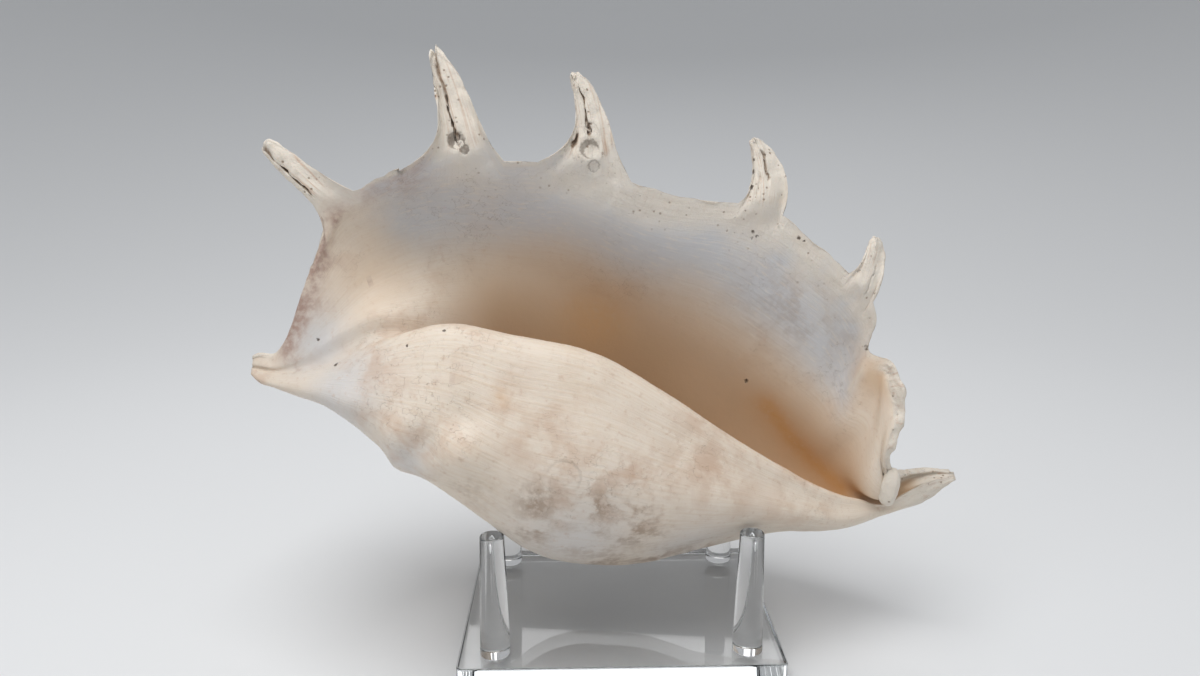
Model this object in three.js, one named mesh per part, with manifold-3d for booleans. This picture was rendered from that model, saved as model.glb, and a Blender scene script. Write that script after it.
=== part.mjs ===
// A worn spider conch shell resting on the four pegs of a clear stand.
// Millimetres, Z up, X along the shell from its blunt end to its canal, Y away from the viewer.
// The origin is the centre of the underside of the stand's plate.
import * as THREE from 'three';
import Module from 'manifold-3d';

const wasm = await Module();
wasm.setup();
const { Manifold, Mesh } = wasm;

// Stand
const plateWidth = 101.6;
const plateDepth = 76.2;
const plateThickness = 6.35;
const plateBevel = 0.8;
const pegSpacingX = 78.8;
const pegSpacingY = 59;
const pegHeight = 40;
const pegFootRadius = 4.75;
const pegTopRadius = 3.7;
const pegBevel = 0.6;
const restGap = 0.3;

// Shell lines, each row [s, x, y, z], with s from 0 at the blunt end to 1 at the canal's tip.
// Edge of the flared lip.
const rimLine = [
  [0, -113.5, -8, 96.8], [0.03, -111, -7.8, 97.9], [0.068, -106.2, -7.5, 97.9], [0.085, -104.4, -7.5, 99.8],
  [0.11, -101.6, -7.5, 104.5], [0.15, -98.3, -7.5, 113], [0.19, -95.3, -7.5, 122], [0.225, -91, -7.5, 131],
  [0.25, -87.7, -8, 138.3], [0.272, -84, -9, 145], [0.305, -77, -11, 149], [0.36, -65, -12, 153],
  [0.42, -47, -10.5, 156], [0.48, -25, -9, 155.5], [0.545, -8, -7, 154], [0.62, 17, -6, 145.5],
  [0.7, 44, -6, 142], [0.77, 64, -7, 128], [0.82, 75.6, -9, 116.5], [0.845, 79.4, -10, 107],
  [0.862, 77.6, -9.3, 100.8], [0.876, 78.2, -11, 97.4], [0.89, 81, -15, 96.9], [0.902, 83, -18, 95.6],
  [0.916, 84.8, -20, 90.3], [0.93, 86.2, -21.2, 83], [0.942, 85.6, -22, 77], [0.952, 83.6, -22, 70],
  [0.961, 84, -19.5, 63.5], [0.97, 88, -13.5, 57.8], [0.979, 92.5, -9, 56], [0.987, 97.5, -7, 55.6],
  [0.994, 104, -6, 55.9], [1, 110, -6, 55.6],
];
// Rounded crest in front of the opening.
const crestLine = [
  [0, -113.5, -10, 93.5], [0.06, -106.5, -13, 92.5], [0.14, -95, -17, 94], [0.24, -80, -21, 99],
  [0.31, -65, -24, 106], [0.385, -48, -26, 110], [0.45, -33, -27, 107], [0.545, -10, -27, 102],
  [0.62, 8, -26, 92], [0.7, 29, -25, 78], [0.77, 45, -23, 67], [0.84, 60, -21, 58],
  [0.9, 71, -18, 52.5], [0.95, 79.5, -14.5, 48.8], [0.973, 86, -12.5, 47.3], [0.984, 91.5, -11, 49.2],
  [0.992, 99, -9.5, 52.8], [1, 110, -7.5, 54.6],
];
// Underside of the body.
const bellyLine = [
  [0, -113.2, -8, 90.5], [0.04, -110.5, -8.5, 88.5], [0.08, -105.5, -9.5, 87.5], [0.14, -97, -12, 85.5],
  [0.24, -84, -14, 81], [0.31, -67, -15, 66.5], [0.385, -46, -16, 50], [0.45, -29, -16, 36],
  [0.545, -10, -16, 29.5], [0.62, 7, -15, 29], [0.7, 26, -14, 33.5], [0.77, 44, -13, 37],
  [0.84, 61, -11, 37.5], [0.9, 75, -10, 38.3], [0.95, 87, -8, 41.5], [0.975, 96, -7, 44],
  [0.99, 104.5, -6.5, 47.5], [1, 110, -6, 52.8],
];

// Single sizes along the shell, each row [s, value].
const frontBulge = [
  [0, -11], [0.06, -15], [0.14, -21], [0.24, -30], [0.33, -38], [0.45, -44], [0.55, -44], [0.65, -39],
  [0.77, -30], [0.86, -24], [0.93, -17], [1, -8.5],
];
const backBulge = [
  [0, -4], [0.06, 0], [0.1, 8], [0.15, 18], [0.24, 31], [0.33, 40], [0.45, 46], [0.55, 46], [0.65, 40],
  [0.77, 30], [0.86, 22], [0.93, 12], [1, -3],
];
const frontGirth = [[0, 0.5], [0.4, 0.625], [0.75, 0.265], [1, 0.46]];
const backGirth = [[0, 0.74], [0.4, 0.8], [0.75, 0.685], [1, 0.74]];
const bodyRise = [
  [0, 0.1], [0.06, 0.15], [0.11, 0.36], [0.16, 0.46], [0.25, 0.48], [0.34, 0.32], [0.45, 0.14],
  [0.6, 0.06], [1, 0.06],
];
const openingWidth = [
  [0, 1], [0.14, 4], [0.24, 8], [0.31, 13], [0.38, 27], [0.47, 40], [0.6, 43], [0.72, 39], [0.82, 31],
  [0.9, 18], [0.93, 9], [0.95, 6], [0.97, 6], [0.985, 4.6], [0.993, 0.8], [1, 0.4],
];
const openingDepth = [
  [0, 0.4], [0.14, 1.5], [0.24, 3], [0.31, 6], [0.38, 18], [0.47, 32], [0.6, 36], [0.7, 34], [0.77, 26.5],
  [0.84, 17.5], [0.9, 11], [0.93, 6], [0.95, 3], [0.97, 2.6], [0.985, 2], [0.993, 0.4], [1, 0.2],
];
const lipLowerPart = [
  [0, 0.36], [0.88, 0.36], [0.92, 0.29], [0.945, 0.15], [0.962, 0.2], [0.98, 0.36], [1, 0.36],
];
const lipLowerY = [
  [0, -9.2], [0.05, -10.6], [0.1, -11.6], [0.16, -11.6], [0.24, -8.5], [0.33, 1], [0.42, 11], [0.5, 13],
  [0.6, 12], [0.7, 8], [0.8, 1], [0.86, -4], [0.9, -9.5], [0.93, -16], [0.95, -18.5], [0.965, -12],
  [0.98, -5.6], [1, -7],
];
const lipUpperY = [
  [0, -8.4], [0.05, -9], [0.1, -9.4], [0.16, -9.4], [0.24, -7.5], [0.33, 1], [0.42, 3], [0.5, -1],
  [0.6, -3], [0.7, -4], [0.8, -5], [0.86, -6], [0.9, -14], [0.93, -18.5], [0.95, -19.8], [0.965, -14.5],
  [0.98, -6.4], [1, -6.5],
];
// How far the lip's middle is drawn in behind the edge of the lobe.
const lipInward = [
  [0, 0], [0.88, 0], [0.905, -0.4], [0.92, -2.6], [0.933, -4], [0.944, -3.2], [0.953, -1.6], [0.962, -0.5],
  [0.97, 0], [1, 0],
];
const rimThickness = [
  [0, 0.8], [0.1, 2], [0.3, 3.2], [0.6, 3.4], [0.8, 3.2], [0.88, 3.4], [0.93, 4], [0.965, 3.4], [1, 1],
];
const rootThickness = [
  [0, 1.5], [0.1, 4], [0.24, 7], [0.4, 9], [0.6, 10], [0.8, 8], [0.9, 6.5], [0.96, 4], [1, 1.2],
];
const floorDrop = [[0, 0.2], [0.1, 0.5], [0.3, 2], [0.5, 3.5], [0.7, 3], [0.9, 1], [1, 0.2]];
const rimMargin = [
  [0, 0.4], [0.05, 0.7], [0.09, 1.2], [0.13, 2.3], [0.2, 4], [0.25, 5], [0.5, 6], [0.85, 6], [0.9, 5],
  [0.93, 4], [0.95, 3], [0.961, 2], [0.97, 1.3], [1, 0.6],
];
// Part of the rim's half thickness that lies in front of the lip's face.
const frontShare = 0.35;

// Places round a section where its control points sit: lip back, body back, floor, body front,
// crest, opening, lip front.
const sectionKnots = [0, 4, 11, 22, 33, 46, 58, 70, 78, 86, 97, 106, 113, 122, 132, 144, 154, 164, 171, 175];
const rimBackKnot = sectionKnots[1];
const rimFrontKnot = sectionKnots[sectionKnots.length - 2];
const lipUpperPart = 0.72;

// Digits of the lip: where each sits on the rim, how far its foot spreads to both sides, its tip,
// the bend of its middle, half widths of both sides at foot and tip, flare of both sides of the foot,
// half thickness, slit depth and the notch at the tip.
const digits = [
  { s: 0.274, before: 0.031, after: 0.022, tip: [-105.4, -6, 160.6], bend: [-0.7, 1, 0.4],
    foot: [3.3, 3.7], end: [3.9, 4.3], flare: [8, 5], thick: 3.2, slit: 1.6, notch: 0 },
  { s: 0.424, before: 0.056, after: 0.029, tip: [-55.4, -2, 188.3], bend: [1.6, 0.5, -0.4],
    foot: [5.3, 6.7], end: [4.1, 4.5], flare: [6, 7], thick: 4.6, slit: 2.4, notch: 0.06 },
  { s: 0.545, before: 0.064, after: 0.036, tip: [-14.1, 2, 181.4], bend: [2.3, 0.5, 0.9],
    foot: [5.5, 5.5], end: [3.3, 3.3], flare: [4.4, 6.7], thick: 4.6, slit: 1.8, notch: 0 },
  { s: 0.702, before: 0.027, after: 0.015, tip: [41.1, 4, 162.1], bend: [2.4, 0.5, 1.5],
    foot: [6.3, 6.6], end: [3, 3.4], flare: [5.3, 6.3], thick: 4.6, slit: 1.4, notch: 0 },
  { s: 0.816, before: 0.018, after: 0.013, tip: [80.9, 0, 132.1], bend: [1.1, 0, 0.4],
    foot: [4.1, 4.1], end: [3.2, 3.5], flare: [3.5, 5], thick: 4, slit: 1.4, notch: 0 },
];
const tipRoundness = 3;

// Rounded knobs, each row [x, y, z, radius, height].
const knobs = [
  [-47, 40, 116, 13, 5], [-50, 44, 78, 12, 4], [-12, 42, 108, 12, 3.5], [-14, 46, 66, 11, 3],
  [22, 36, 84, 10, 2.5], [-74, 32, 104, 9, 2.5],
  [-80, -30.5, 89.5, 4, 1.2], [-64, -37, 81, 5.5, 2.8], [-46.8, -41.3, 77.3, 8, 4],
  [-45.5, -40, 86, 6, -1.6], [-55.5, -39, 79.5, 4.5, -1.4], [-63.5, -32, 73, 5, 3], [-55, -36, 71.5, 5.5, 2.4],
];
const backRidge = 2.4;
const backRidgeSpread = 0.018;

// Low spire coiled behind the blunt end.
const spireApex = new THREE.Vector3(-99, 16, 100);
const spireAxis = new THREE.Vector3(-0.82, 0.55, 0.12).normalize();
const spireReach = 30;
const spirePitch = 9.5;
const spireGroove = 1.5;
const spireHeight = 5;

// Broken end of the lobe that hangs in front of the canal.
const lobeEndCentre = new THREE.Vector3(83.6, -19, 56.2);
const lobeEndDown = new THREE.Vector3(-0.12, 0.05, -1).normalize();
const lobeEndAcross = new THREE.Vector3(0.9, -0.43, 0).normalize();
const lobeEndTall = 6.8;
const lobeEndWide = 3.5;
const lobeEndDeep = 3.4;

// Fineness of the shell
const digitFlankSteps = [0, 0.2, 0.36, 0.55, 0.77, 0.93];
const digitTopSteps = [0.45];
const gapDensity = 48;
const canalSteps = 13;
const sectionSteps = 32;
const marginSteps = 3;

const mix = (a, b, f) => a + (b - a) * f;
const mixVec = (a, b, f) => a.clone().lerp(b, f);
const clamp01 = (v) => Math.min(1, Math.max(0, v));
const smooth = (a, b, v) => {
  const u = clamp01((v - a) / (b - a));
  return u * u * (3 - 2 * u);
};
const signedPower = (v, p) => Math.sign(v) * Math.abs(v) ** p;

// Natural cubic spline through (knots, values); returns a function of one number.
function spline(knots, values) {
  const n = knots.length;
  const step = knots.slice(1).map((k, i) => k - knots[i]);
  const slope = step.map((h, i) => (values[i + 1] - values[i]) / h);
  const curve = new Array(n).fill(0);
  const ratio = new Array(n).fill(0);
  const part = new Array(n).fill(0);
  for (let i = 1; i < n - 1; i += 1) {
    const pivot = 2 * (step[i - 1] + step[i]) - step[i - 1] * ratio[i - 1];
    ratio[i] = step[i] / pivot;
    part[i] = (6 * (slope[i] - slope[i - 1]) - step[i - 1] * part[i - 1]) / pivot;
  }
  for (let i = n - 2; i > 0; i -= 1) {
    curve[i] = part[i] - ratio[i] * curve[i + 1];
  }
  return (v) => {
    let i = 0;
    while (i < n - 2 && v >= knots[i + 1]) i += 1;
    const h = step[i];
    const a = knots[i + 1] - v;
    const b = v - knots[i];
    return (curve[i] * a ** 3 + curve[i + 1] * b ** 3) / (6 * h)
      + (values[i] / h - (curve[i] * h) / 6) * a
      + (values[i + 1] / h - (curve[i + 1] * h) / 6) * b;
  };
}
function column(table, index) {
  return spline(table.map((row) => row[0]), table.map((row) => row[index]));
}
function lineOf(table) {
  const [x, y, z] = [1, 2, 3].map((index) => column(table, index));
  return (s) => new THREE.Vector3(x(s), y(s), z(s));
}

const rimAt = lineOf(rimLine);
const crestAt = lineOf(crestLine);
const bellyAt = lineOf(bellyLine);
const size = Object.fromEntries(Object.entries({
  frontBulge, backBulge, frontGirth, backGirth, bodyRise, openingWidth, openingDepth, lipLowerPart, lipLowerY,
  lipUpperY, lipInward, rimThickness, rootThickness, floorDrop, rimMargin,
}).map(([name, table]) => [name, column(table, 1)]));

// One closed section of the shell: its control points, and the frame its rim is built on.
function section(s) {
  const rim = rimAt(s);
  const crest = crestAt(s);
  const belly = bellyAt(s);
  const run = rimAt(Math.min(1, s + 0.02)).sub(rimAt(Math.max(0, s - 0.02))).normalize();
  const outward = (direction) => direction.clone().cross(run).normalize();
  const between = (a, b, f, y, dz = 0) => {
    const p = mixVec(a, b, f);
    return p.set(p.x, y, p.z + dz);
  };
  const back = size.backBulge(s);
  const front = size.frontBulge(s);
  const width = size.openingWidth(s);
  const depth = size.openingDepth(s);
  const thin = size.rimThickness(s);
  const root = size.rootThickness(s);
  const margin = size.rimMargin(s);
  const rise = size.bodyRise(s);

  const throat = between(crest, rim, 0.04, crest.y + width, -0.12 * depth);
  const lowerPart = size.lipLowerPart(s);
  const lipLower = between(crest, rim, lowerPart, size.lipLowerY(s));
  const lipUpper = between(crest, rim, lipUpperPart, size.lipUpperY(s));
  lipLower.x += 0.5 * size.lipInward(s);
  lipUpper.x += size.lipInward(s);
  const away = rim.clone().sub(lipUpper).normalize();
  const onLobe = smooth(0.872, 0.9, s) * (1 - smooth(0.955, 0.968, s));
  away.addScaledVector(run, -onLobe * away.dot(run)).normalize();
  const base = rim.clone().addScaledVector(away, -margin);
  const normal = outward(away);
  const half = 0.5 * thin;
  const rimFront = base.clone().addScaledVector(normal, -frontShare * half);
  const rimBack = base.clone().addScaledVector(normal, (2 - frontShare) * half);
  const lipPoint = (f) => {
    const a = lowerPart;
    const b = lipUpperPart;
    return lipLower.clone().multiplyScalar(((f - b) * (f - 1)) / ((a - b) * (a - 1)))
      .addScaledVector(lipUpper, ((f - a) * (f - 1)) / ((b - a) * (b - 1)))
      .addScaledVector(rim, ((f - a) * (f - b)) / ((1 - a) * (1 - b)));
  };
  const lipBackLower = lipPoint(mix(rise, 1, 0.36))
    .addScaledVector(outward(lipUpper.clone().sub(throat)), mix(root, thin, 0.25));
  const lipBackUpper = lipPoint(mix(rise, 1, 0.7))
    .addScaledVector(outward(rim.clone().sub(lipLower)), mix(root, thin, 0.75));
  const points = [
    rimBack.clone().addScaledVector(away, margin), rimBack, lipBackUpper, lipBackLower,
    between(crest, rim, rise, Math.max(throat.y + root * 1.1, 0.84 * back)),
    between(belly, crest, 0.52, back),
    between(belly, crest, 0.12, mix(belly.y, back, size.backGirth(s))),
    between(belly, crest, 0, mix(belly.y, back, 0.28), -size.floorDrop(s)),
    belly,
    between(belly, crest, 0.12, mix(belly.y, front, size.frontGirth(s))),
    between(belly, crest, 0.5, front),
    between(belly, crest, 0.82, mix(front, crest.y, 0.5)),
    crest,
    between(crest, rim, 0, crest.y + 0.42 * width, -0.38 * depth),
    between(crest, rim, 0, crest.y + 0.8 * width, -depth),
    throat, lipLower, lipUpper, rimFront, rimFront.clone().addScaledVector(away, margin),
  ];
  const [x, y, z] = ['x', 'y', 'z'].map((axis) => spline(sectionKnots, points.map((p) => p[axis])));
  return { s, base, away, normal, margin, half, at: (t) => new THREE.Vector3(x(t), y(t), z(t)) };
}

// The margin of the lip at one section: its middle line and half thickness to front and back,
// u from 0 at the rim's foot to 1 at its edge. Inside a digit's spread it is drawn out to the digit's tip.
function marginPoint(cut, u) {
  const round = Math.sqrt(Math.max(0, 1 - u ** 2.5));
  const half = cut.half * mix(1 - u ** 1.7, round, smooth(0.862, 0.89, cut.s));
  const front = half * frontShare;
  const back = half * (2 - frontShare);
  const digit = digits.find((d) => cut.s > d.s - d.before && cut.s < d.s + d.after);
  if (!digit) {
    const middle = cut.base.clone().addScaledVector(cut.away, cut.margin * u);
    return { middle, front, back };
  }
  const foot = section(digit.s);
  const q = (cut.s - digit.s) / (cut.s < digit.s ? digit.before : digit.after);
  const shown = (1 - Math.abs(q) ** tipRoundness) ** (1 / tipRoundness)
    - digit.notch * (Math.exp(-(((q + 0.08) / 0.13) ** 2)) + 0.5 * (1 - smooth(-0.3, 0.05, q)));
  const g = shown * u;
  const full = new THREE.Vector3(...digit.tip).sub(foot.base).addScaledVector(foot.away, -foot.margin);
  const axis = full.clone().normalize();
  const side = rimAt(digit.s + digit.after).sub(rimAt(digit.s - digit.before)).normalize();
  side.addScaledVector(axis, -side.dot(axis)).normalize();
  const after = smooth(-0.3, 0.3, q);
  const [footHalf, endHalf, power] = [digit.foot, digit.end, digit.flare].map(([a, b]) => mix(a, b, after));
  const flare = (1 - g) ** power;
  const shaft = mix(footHalf, endHalf, g);
  const middle = foot.base.clone()
    .addScaledVector(cut.base.clone().sub(foot.base), flare)
    .addScaledVector(side, q * shaft * (1 - flare))
    .addScaledVector(mixVec(foot.away, cut.away, flare).normalize(), cut.margin * u)
    .addScaledVector(full, g)
    .addScaledVector(new THREE.Vector3(...digit.bend), 4 * g * (1 - g));
  const reach = (1 - clamp01(g) ** tipRoundness) ** (1 / tipRoundness);
  const oval = Math.sqrt(Math.max(0, 1 - (q / Math.max(reach, 1e-6)) ** 2));
  const thick = digit.thick * mix(1, 0.7, g) * oval;
  const risen = smooth(0, 0.35, g);
  const slit = Math.min(digit.slit * Math.exp(-((q / 0.1) ** 2)) * smooth(0.35, 0.5, g), thick * 0.9);
  return { middle, front: mix(front, thick, risen) - slit, back: mix(back, thick, risen) };
}

// Stations along the shell, closer together across each digit.
function stations() {
  const flank = digitFlankSteps.map((g) => -((1 - g ** tipRoundness) ** (1 / tipRoundness)));
  const half = [...flank, ...digitTopSteps.map((q) => -q)];
  const across = [...half, 0, ...half.slice(1).reverse().map((q) => -q)];
  const list = [];
  const evenly = (from, to, count) => {
    for (let i = 0; i < count; i += 1) list.push(mix(from, to, i / count));
  };
  let done = 0;
  for (const d of digits) {
    const start = d.s - d.before;
    evenly(done, start, Math.max(2, Math.round((start - done) * gapDensity)));
    for (const q of across) list.push(d.s + q * (q < 0 ? d.before : d.after));
    done = d.s + d.after;
  }
  evenly(done, 0.9, Math.max(3, Math.round((0.9 - done) * gapDensity * 1.5)));
  evenly(0.9, 1, canalSteps);
  list.push(1);
  return list;
}

// Height of knobs, back ridges and spire coils at a point of section place t.
function relief(p, s, t) {
  const onLipBack = smooth(3, 10, t) * (1 - smooth(30, 52, t));
  let height = 0;
  for (const d of digits) {
    height += backRidge * Math.exp(-(((s - d.s) / backRidgeSpread) ** 2)) * onLipBack;
  }
  for (const [x, y, z, radius, tall] of knobs) {
    const away = (p.x - x) ** 2 + (p.y - y) ** 2 + (p.z - z) ** 2;
    height += tall * Math.exp(-away / radius ** 2);
  }
  const offset = p.clone().sub(spireApex);
  offset.addScaledVector(spireAxis, -offset.dot(spireAxis));
  const radius = offset.length();
  const level = spireAxis.clone().cross(new THREE.Vector3(0, 0, 1)).normalize();
  const upright = spireAxis.clone().cross(level);
  const turn = radius / spirePitch - Math.atan2(offset.dot(upright), offset.dot(level)) / (2 * Math.PI);
  const whorl = Math.abs(Math.sin(Math.PI * turn)) ** 0.6;
  const onSpire = smooth(12, 20, t) * (1 - smooth(62, 74, t))
    * (1 - smooth(0.7 * spireReach, spireReach, radius));
  height += onSpire * (spireGroove * (whorl - 0.5) + spireHeight * (1 - smooth(0, 0.8 * spireReach, radius)));
  return height * smooth(0, 0.05, s) * (1 - smooth(0.95, 1, s));
}

// Mesh over points and faces, its faces turned to point out.
function meshOf(points, faces) {
  const volume = faces.reduce((sum, [a, b, c]) => sum + points[a].dot(points[b].clone().cross(points[c])), 0);
  const outside = volume > 0 ? faces : faces.map(([a, b, c]) => [a, c, b]);
  const geometry = new THREE.BufferGeometry();
  geometry.setAttribute('position', new THREE.Float32BufferAttribute(points.flatMap((p) => [p.x, p.y, p.z]), 3));
  geometry.setIndex(outside.flat());
  return geometry;
}

// Closed skin over rings of points, with a fan at both ends.
function skin(rings, firstCap, lastCap) {
  const around = rings[0].length;
  const last = (rings.length - 1) * around;
  const points = [...rings.flat(), firstCap, lastCap];
  const faces = [];
  for (let j = 0; j < around; j += 1) {
    const k = (j + 1) % around;
    for (let i = 0; i < rings.length - 1; i += 1) {
      const here = i * around;
      const next = here + around;
      faces.push([here + j, next + j, next + k], [here + j, next + k, here + k]);
    }
    faces.push([points.length - 2, j, k], [points.length - 1, last + k, last + j]);
  }
  return meshOf(points, faces);
}
function centre(ring) {
  return ring.reduce((sum, p) => sum.add(p), new THREE.Vector3()).divideScalar(ring.length);
}

function shellBody() {
  const places = [];
  const rings = stations().map((s) => {
    const cut = section(s);
    const main = Array.from({ length: sectionSteps + 1 }, (_, i) => mix(rimBackKnot, rimFrontKnot, i / sectionSteps));
    const steps = Array.from({ length: marginSteps }, (_, i) => Math.sin(((i + 1) / marginSteps) * (Math.PI / 2)));
    const margin = steps.map((u) => marginPoint(cut, u));
    const edge = margin[marginSteps - 1].middle;
    const inner = margin.slice(0, -1);
    const offset = (m, amount) => m.middle.clone().addScaledVector(cut.normal, amount);
    const ring = [
      edge,
      ...inner.map((m) => offset(m, m.back)).reverse(),
      ...main.map((t) => cut.at(t)),
      ...inner.map((m) => offset(m, -m.front)),
    ];
    const backPlaces = steps.slice(0, -1).map((u) => rimBackKnot * (1 - u)).reverse();
    const frontPlaces = steps.slice(0, -1).map((u) => rimFrontKnot + rimBackKnot * u);
    places.push(...[0, ...backPlaces, ...main, ...frontPlaces].map((t) => [s, t]));
    return ring;
  });
  const geometry = skin(rings, centre(rings[0]), centre(rings[rings.length - 1]));
  geometry.computeVertexNormals();
  const position = geometry.getAttribute('position');
  const normal = geometry.getAttribute('normal');
  places.forEach(([s, t], i) => {
    const p = new THREE.Vector3().fromBufferAttribute(position, i);
    const n = new THREE.Vector3().fromBufferAttribute(normal, i);
    p.addScaledVector(n, relief(p, s, t));
    position.setXYZ(i, p.x, p.y, p.z);
  });
  return geometry;
}

// Rounded slab: an oval section shrinking to both ends.
function lobeEnd() {
  const rows = 8;
  const sides = 14;
  const depthAxis = lobeEndDown.clone().cross(lobeEndAcross).normalize();
  const acrossAxis = depthAxis.clone().cross(lobeEndDown).normalize();
  const rings = Array.from({ length: rows - 1 }, (_, i) => {
    const angle = ((i + 1) / rows) * Math.PI;
    const radius = Math.sin(angle) ** 0.7;
    return Array.from({ length: sides }, (_unused, j) => {
      const turn = (j / sides) * 2 * Math.PI;
      return lobeEndCentre.clone()
        .addScaledVector(lobeEndDown, -lobeEndTall * signedPower(Math.cos(angle), 0.8))
        .addScaledVector(acrossAxis, lobeEndWide * radius * signedPower(Math.cos(turn), 0.8))
        .addScaledVector(depthAxis, lobeEndDeep * radius * signedPower(Math.sin(turn), 0.8));
    });
  });
  const top = lobeEndCentre.clone().addScaledVector(lobeEndDown, -lobeEndTall);
  const bottom = lobeEndCentre.clone().addScaledVector(lobeEndDown, lobeEndTall);
  return skin(rings, top, bottom);
}

function solid(geometry) {
  return new Manifold(new Mesh({
    numProp: 3,
    vertProperties: new Float32Array(geometry.getAttribute('position').array),
    triVerts: new Uint32Array(geometry.getIndex().array),
  }));
}
function geometryOf(body) {
  const mesh = body.getMesh();
  const geometry = new THREE.BufferGeometry();
  geometry.setAttribute('position', new THREE.Float32BufferAttribute(mesh.vertProperties, 3));
  geometry.setIndex([...mesh.triVerts]);
  return geometry;
}

// Flat plate with bevelled edges, standing on z = 0.
function plate() {
  const w = plateWidth / 2;
  const d = plateDepth / 2;
  const ring = (inset, z) => [[-1, -1], [1, -1], [1, 1], [-1, 1]]
    .map(([x, y]) => new THREE.Vector3(x * (w - inset), y * (d - inset), z));
  const rings = [
    ring(plateBevel, 0), ring(0, plateBevel), ring(0, plateThickness - plateBevel), ring(plateBevel, plateThickness),
  ];
  return skin(rings, new THREE.Vector3(0, 0, 0), new THREE.Vector3(0, 0, plateThickness));
}

// Round tapered peg with a bevelled top.
function peg(x, y) {
  const sides = 32;
  const foot = plateThickness + restGap;
  const top = plateThickness + pegHeight;
  const ring = (radius, z) => Array.from({ length: sides }, (_, i) => {
    const turn = (i / sides) * 2 * Math.PI;
    return new THREE.Vector3(x + radius * Math.cos(turn), y + radius * Math.sin(turn), z);
  });
  const rings = [
    ring(pegFootRadius, foot), ring(pegTopRadius, top - pegBevel), ring(pegTopRadius - pegBevel, top),
  ];
  return skin(rings, new THREE.Vector3(x, y, foot), new THREE.Vector3(x, y, top));
}

const shellMaterial = new THREE.MeshStandardMaterial({ color: '#dcc9b0', roughness: 0.55, metalness: 0 });
const clearMaterial = () => new THREE.MeshStandardMaterial({
  color: '#e6eef2', roughness: 0.06, metalness: 0, transparent: true, opacity: 0.3,
});

const group = new THREE.Group();
function add(name, geometry, material) {
  geometry.computeVertexNormals();
  const mesh = new THREE.Mesh(geometry, material);
  mesh.name = name;
  group.add(mesh);
}

add('shell', geometryOf(solid(shellBody()).add(solid(lobeEnd()))), shellMaterial);
add('stand_base', plate(), clearMaterial());
for (const [row, y] of [['front', -1], ['back', 1]]) {
  for (const [side, x] of [['left', -1], ['right', 1]]) {
    add(`peg_${row}_${side}`, peg((x * pegSpacingX) / 2, (y * pegSpacingY) / 2), clearMaterial());
  }
}

export default group;
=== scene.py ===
"""A worn spider conch shell lying on the pegs of a clear acrylic stand.

The shell is one closed surface P(s, t): s runs along the shell from its blunt end to the tip of its
canal, and t runs round each section, from the edge of the lip down its back, under the body, over the
crest, through the opening and up the front of the lip. Lines and sizes are in millimetres until a mesh
is made.
"""

import math

import bpy
import mathutils
import numpy as np
from bpy.props import FloatProperty, FloatVectorProperty, PointerProperty
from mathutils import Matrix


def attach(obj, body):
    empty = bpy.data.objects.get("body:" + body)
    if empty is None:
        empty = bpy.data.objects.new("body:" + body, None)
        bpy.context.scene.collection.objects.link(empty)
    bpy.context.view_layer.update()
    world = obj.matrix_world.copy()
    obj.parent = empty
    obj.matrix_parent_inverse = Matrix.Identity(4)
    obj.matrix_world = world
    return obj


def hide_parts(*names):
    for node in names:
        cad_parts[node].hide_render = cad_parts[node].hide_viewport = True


bl_info = {
    "name": "Spider conch shell on a clear stand",
    "version": (1, 0, 0),
    "blender": (4, 5, 0),
    "location": "View3D > Sidebar > Shell",
    "description": "Builds a worn spider conch shell, its clear peg stand and a plain studio",
    "category": "Mesh",
}

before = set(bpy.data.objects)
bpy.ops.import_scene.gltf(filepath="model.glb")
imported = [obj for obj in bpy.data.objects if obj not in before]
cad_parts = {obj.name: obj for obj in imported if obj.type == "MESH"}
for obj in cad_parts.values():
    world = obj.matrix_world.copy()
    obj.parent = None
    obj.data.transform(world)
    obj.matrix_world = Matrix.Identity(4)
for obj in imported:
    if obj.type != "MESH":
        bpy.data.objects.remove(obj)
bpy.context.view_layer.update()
MM = 0.001

# Lines along the shell, each row [s, x, y, z].
RIM_LINE = [
    [0, -113.5, -8, 96.8], [0.03, -111, -7.8, 97.9], [0.068, -106.2, -7.5, 97.9],
    [0.085, -104.4, -7.5, 99.8], [0.11, -101.6, -7.5, 104.5], [0.15, -98.3, -7.5, 113],
    [0.19, -95.3, -7.5, 122], [0.225, -91, -7.5, 131], [0.25, -87.7, -8, 138.3], [0.272, -84, -9, 145],
    [0.305, -77, -11, 149], [0.36, -65, -12, 153], [0.42, -47, -10.5, 156], [0.48, -25, -9, 155.5],
    [0.545, -8, -7, 154], [0.62, 17, -6, 145.5], [0.7, 44, -6, 142], [0.77, 64, -7, 128],
    [0.82, 75.6, -9, 116.5], [0.845, 79.4, -10, 107], [0.862, 77.6, -9.3, 100.8], [0.876, 78.2, -11, 97.4],
    [0.89, 81, -15, 96.9], [0.902, 83, -18, 95.6], [0.916, 84.8, -20, 90.3], [0.93, 86.2, -21.2, 83],
    [0.942, 85.6, -22, 77], [0.952, 83.6, -22, 70], [0.961, 84, -19.5, 63.5], [0.97, 88, -13.5, 57.8],
    [0.979, 92.5, -9, 56], [0.987, 97.5, -7, 55.6], [0.994, 104, -6, 55.9], [1, 110, -6, 55.6],
]
CREST_LINE = [
    [0, -113.5, -10, 93.5], [0.06, -106.5, -13, 92.5], [0.14, -95, -17, 94], [0.24, -80, -21, 99],
    [0.31, -65, -24, 106], [0.385, -48, -26, 110], [0.45, -33, -27, 107], [0.545, -10, -27, 102],
    [0.62, 8, -26, 92], [0.7, 29, -25, 78], [0.77, 45, -23, 67], [0.84, 60, -21, 58], [0.9, 71, -18, 52.5],
    [0.95, 79.5, -14.5, 48.8], [0.973, 86, -12.5, 47.3], [0.984, 91.5, -11, 49.2], [0.992, 99, -9.5, 52.8],
    [1, 110, -7.5, 54.6],
]
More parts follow.
